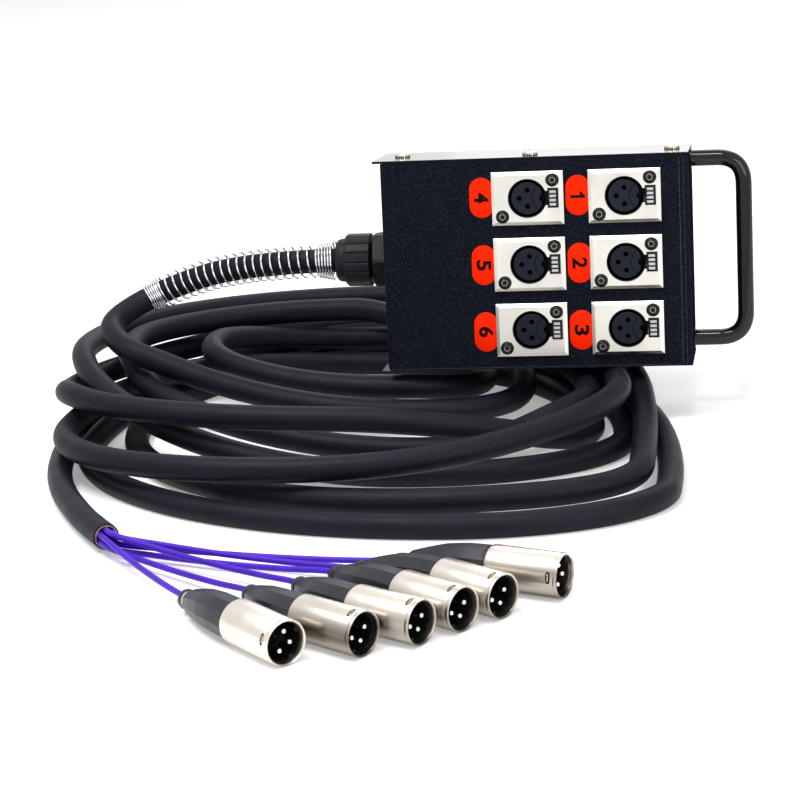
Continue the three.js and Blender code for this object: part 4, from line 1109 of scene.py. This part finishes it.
flange_shape, insert_shape, tab_shape = flange_mesh(), insert_mesh(), tab_mesh()
screw_shape, glint_shape, label_shape = black_screw(), recess_rim(), label_mesh()
liner_profile = [(9.42, -1.9), (9.1, -1.7), (9.0, -1.4), (9.0, 14.6), (9.42, 14.6), (9.42, -1.9)]
liner_ring = faces_mesh("liner", *lathe(liner_profile, 72))
rng = np.random.default_rng(11)
for n, (x, z) in enumerate(SOCKETS, 1):
    here = BOX @ Matrix.Translation((x, 0, z))
    tag = str(n)
    flange = piece(
        "flange_" + tag, placed(flange_shape, here), nickel, ["socket_flange_" + tag],
        smooth=35, weighted=True,
    )
    # Painted shade: the chamfer faces that look down and forward get the darker nickel.
    flange.data.materials.append(nickel_painted_shade)
    for face in flange.data.polygons:
        face.material_index = int(face.normal.z < -0.3 and face.normal.y < -0.3)
    piece(
        "insert_" + tag, placed(insert_shape, here), insert_black, ["socket_insert_" + tag],
        smooth=35,
    )
    piece("liner_" + tag, placed(liner_ring, here), liner_black, smooth=35)
    tab_here = here @ Matrix.Translation((TAB_X, 0, 0))
    piece(
        "tab_" + tag, placed(tab_shape, tab_here), nylon, ["push_tab_" + tag],
        body="push_" + tag, smooth=35, weighted=True,
    )
    for k in range(4):
        rib = faces_mesh("rib", *block((-1.55, -3.62, -0.62), (1.55, -3.4, 0.62)))
        rib = placed(eased(rib, 0.08, merge=0.001), tab_here @ Matrix.Translation((0, 0, (k - 1.5) * 2.05)))
        piece("tab_rib_" + tag + "abcd"[k], rib, pale_print, body="push_" + tag)
    for s in (1, -1):
        seat = here @ Matrix.Translation((s * SCREW_X, FACE + SCREW_SUNK, s * SCREW_Z))
        seat = seat @ Matrix.Rotation(math.pi, 4, "Z") @ Matrix.Rotation(rng.random() * math.pi, 4, "Y")
        end = tag + ("a" if s > 0 else "b")
        piece("flange_screw_" + end, placed(screw_shape, seat), screw_black, smooth=35)
        # Painted highlight: a bright metal ring stands in for the glints in the screw recess.
        piece("flange_screw_rim_" + end, placed(glint_shape, seat), glint, smooth=20)
    spot = here @ Matrix.Translation((LABEL_X, 0, (z - MIDDLE_Z) * LABEL_SPREAD))
    piece("number_label_" + tag, placed(label_shape, spot), label_red, smooth=30)
    above = spot @ Matrix.Translation((0, -DIGIT_LIFT, 0))
    piece("number_" + tag, placed(digit_mesh(n), above), ink, smooth=0)

# Small marks on the panel: painted highlight lines along the folds, and the bent corner of the sheet at the
# lower left
for name, low, high in (
    ("fold_highlight_right", (70.2, -0.05, 1.2), (70.55, 0.02, 101.5)),
    ("fold_highlight_edge", (72.4, -0.04, 1.2), (72.6, 0.02, 101.5)),
    ("fold_highlight_bottom", (-73.8, -0.05, 0.7), (70, 0.02, 0.95)),
):
    piece(name, placed(faces_mesh(name, *block(low, high)), BOX), fold_highlight_grey, smooth=0)
corner = [(-78.3, 0.3), (-74.4, 0.0), (-75.3, 4.1)]
corner_rings = [[(x, y, z) for x, z in corner] for y in (-0.12, 0.25)]
piece("sheet_corner", faces_mesh("sheet_corner", *loft(corner_rings), BOX), mark_grey, smooth=0)

# Materials of the CAD pieces that stay
for name, mat in {
    "handle_screw_upper": steel,
    "handle_screw_lower": steel,
    "gland_locknut": nylon,
    "gland_seal": boot_black,
    "wiring_loom": violet,
}.items():
    nodes[name].data.materials.clear()
    nodes[name].data.materials.append(mat)


# Floor, world and lamps
WHITE = (1, 1, 1, 1)


def either(tree, a, b):
    return add_node(tree, "Math", {0: a, 1: b}, operation="MAXIMUM").outputs["Value"]


def make_floor():
    size = 6
    verts = [(-size, -size, floor_z), (size, -size, floor_z), (size, size, floor_z), (-size, size, floor_z)]
    mesh = bpy.data.meshes.new("floor")
    mesh.from_pydata(verts, [], [(0, 1, 2, 3)])
    floor = in_scene("floor", mesh)
    mat = bpy.data.materials.new("floor")
    mat.use_nodes = True
    tree = mat.node_tree
    tree.nodes.clear()
    ray = add_node(tree, "LightPath", {})
    seen = either(tree, ray.outputs["Is Camera Ray"], ray.outputs["Is Glossy Ray"])
    level = add_node(tree, "Math", {0: seen, 1: 0.3}, operation="MULTIPLY")
    matt = add_node(tree, "BsdfDiffuse", {"Color": (0.86, 0.86, 0.86, 1)})
    glow = add_node(tree, "Emission", {"Color": WHITE, "Strength": level.outputs["Value"]})
    both = add_node(tree, "AddShader", {0: matt.outputs["BSDF"], 1: glow.outputs["Emission"]})
    add_node(tree, "OutputMaterial", {"Surface": both.outputs["Shader"]})
    mesh.materials.append(mat)


def make_world():
    world = bpy.data.worlds.new("world")
    bpy.context.scene.world = world
    world.use_nodes = True
    tree = world.node_tree
    tree.nodes.clear()
    light = add_node(tree, "Background", {"Color": WHITE, "Strength": 0.55}).outputs["Background"]
    plain = add_node(tree, "Background", {"Color": WHITE, "Strength": 1}).outputs["Background"]
    ray = add_node(tree, "LightPath", {})
    seen = either(tree, ray.outputs["Is Camera Ray"], ray.outputs["Is Transmission Ray"])
    shown = either(tree, seen, ray.outputs["Is Glossy Ray"])
    mix = add_node(tree, "MixShader", {"Fac": shown, 1: light, 2: plain})
    add_node(tree, "OutputWorld", {"Surface": mix.outputs["Shader"]})


def make_lamp(name, place, target, size, watts):
    data = bpy.data.lights.new(name, "AREA")
    data.shape = "SQUARE"
    data.size = size
    data.energy = watts
    lamp = in_scene(name, data)
    lamp.location = place
    lamp.rotation_mode = "QUATERNION"
    lamp.rotation_quaternion = (Vector(target) - Vector(place)).to_track_quat("-Z", "Y")


make_floor()
make_world()
make_lamp("key", (-0.5, -0.5, 1.35), (-0.05, -0.05, -0.03), 0.6, 15)
make_lamp("top", (0.12, -0.55, 1.3), (0.05, 0, 0.05), 0.2, 3)
make_lamp("fill", (0.9, -1.1, 0.6), (0, 0, 0), 0.8, 7)
make_lamp("back", (0.1, 1.1, 0.9), (0, 0, 0), 0.9, 6)
make_lamp("low_back", (0.1, 1.9, 0.35), (0, 0, 0.02), 0.8, 0.6)
bpy.context.scene.view_settings.view_transform = "Standard"
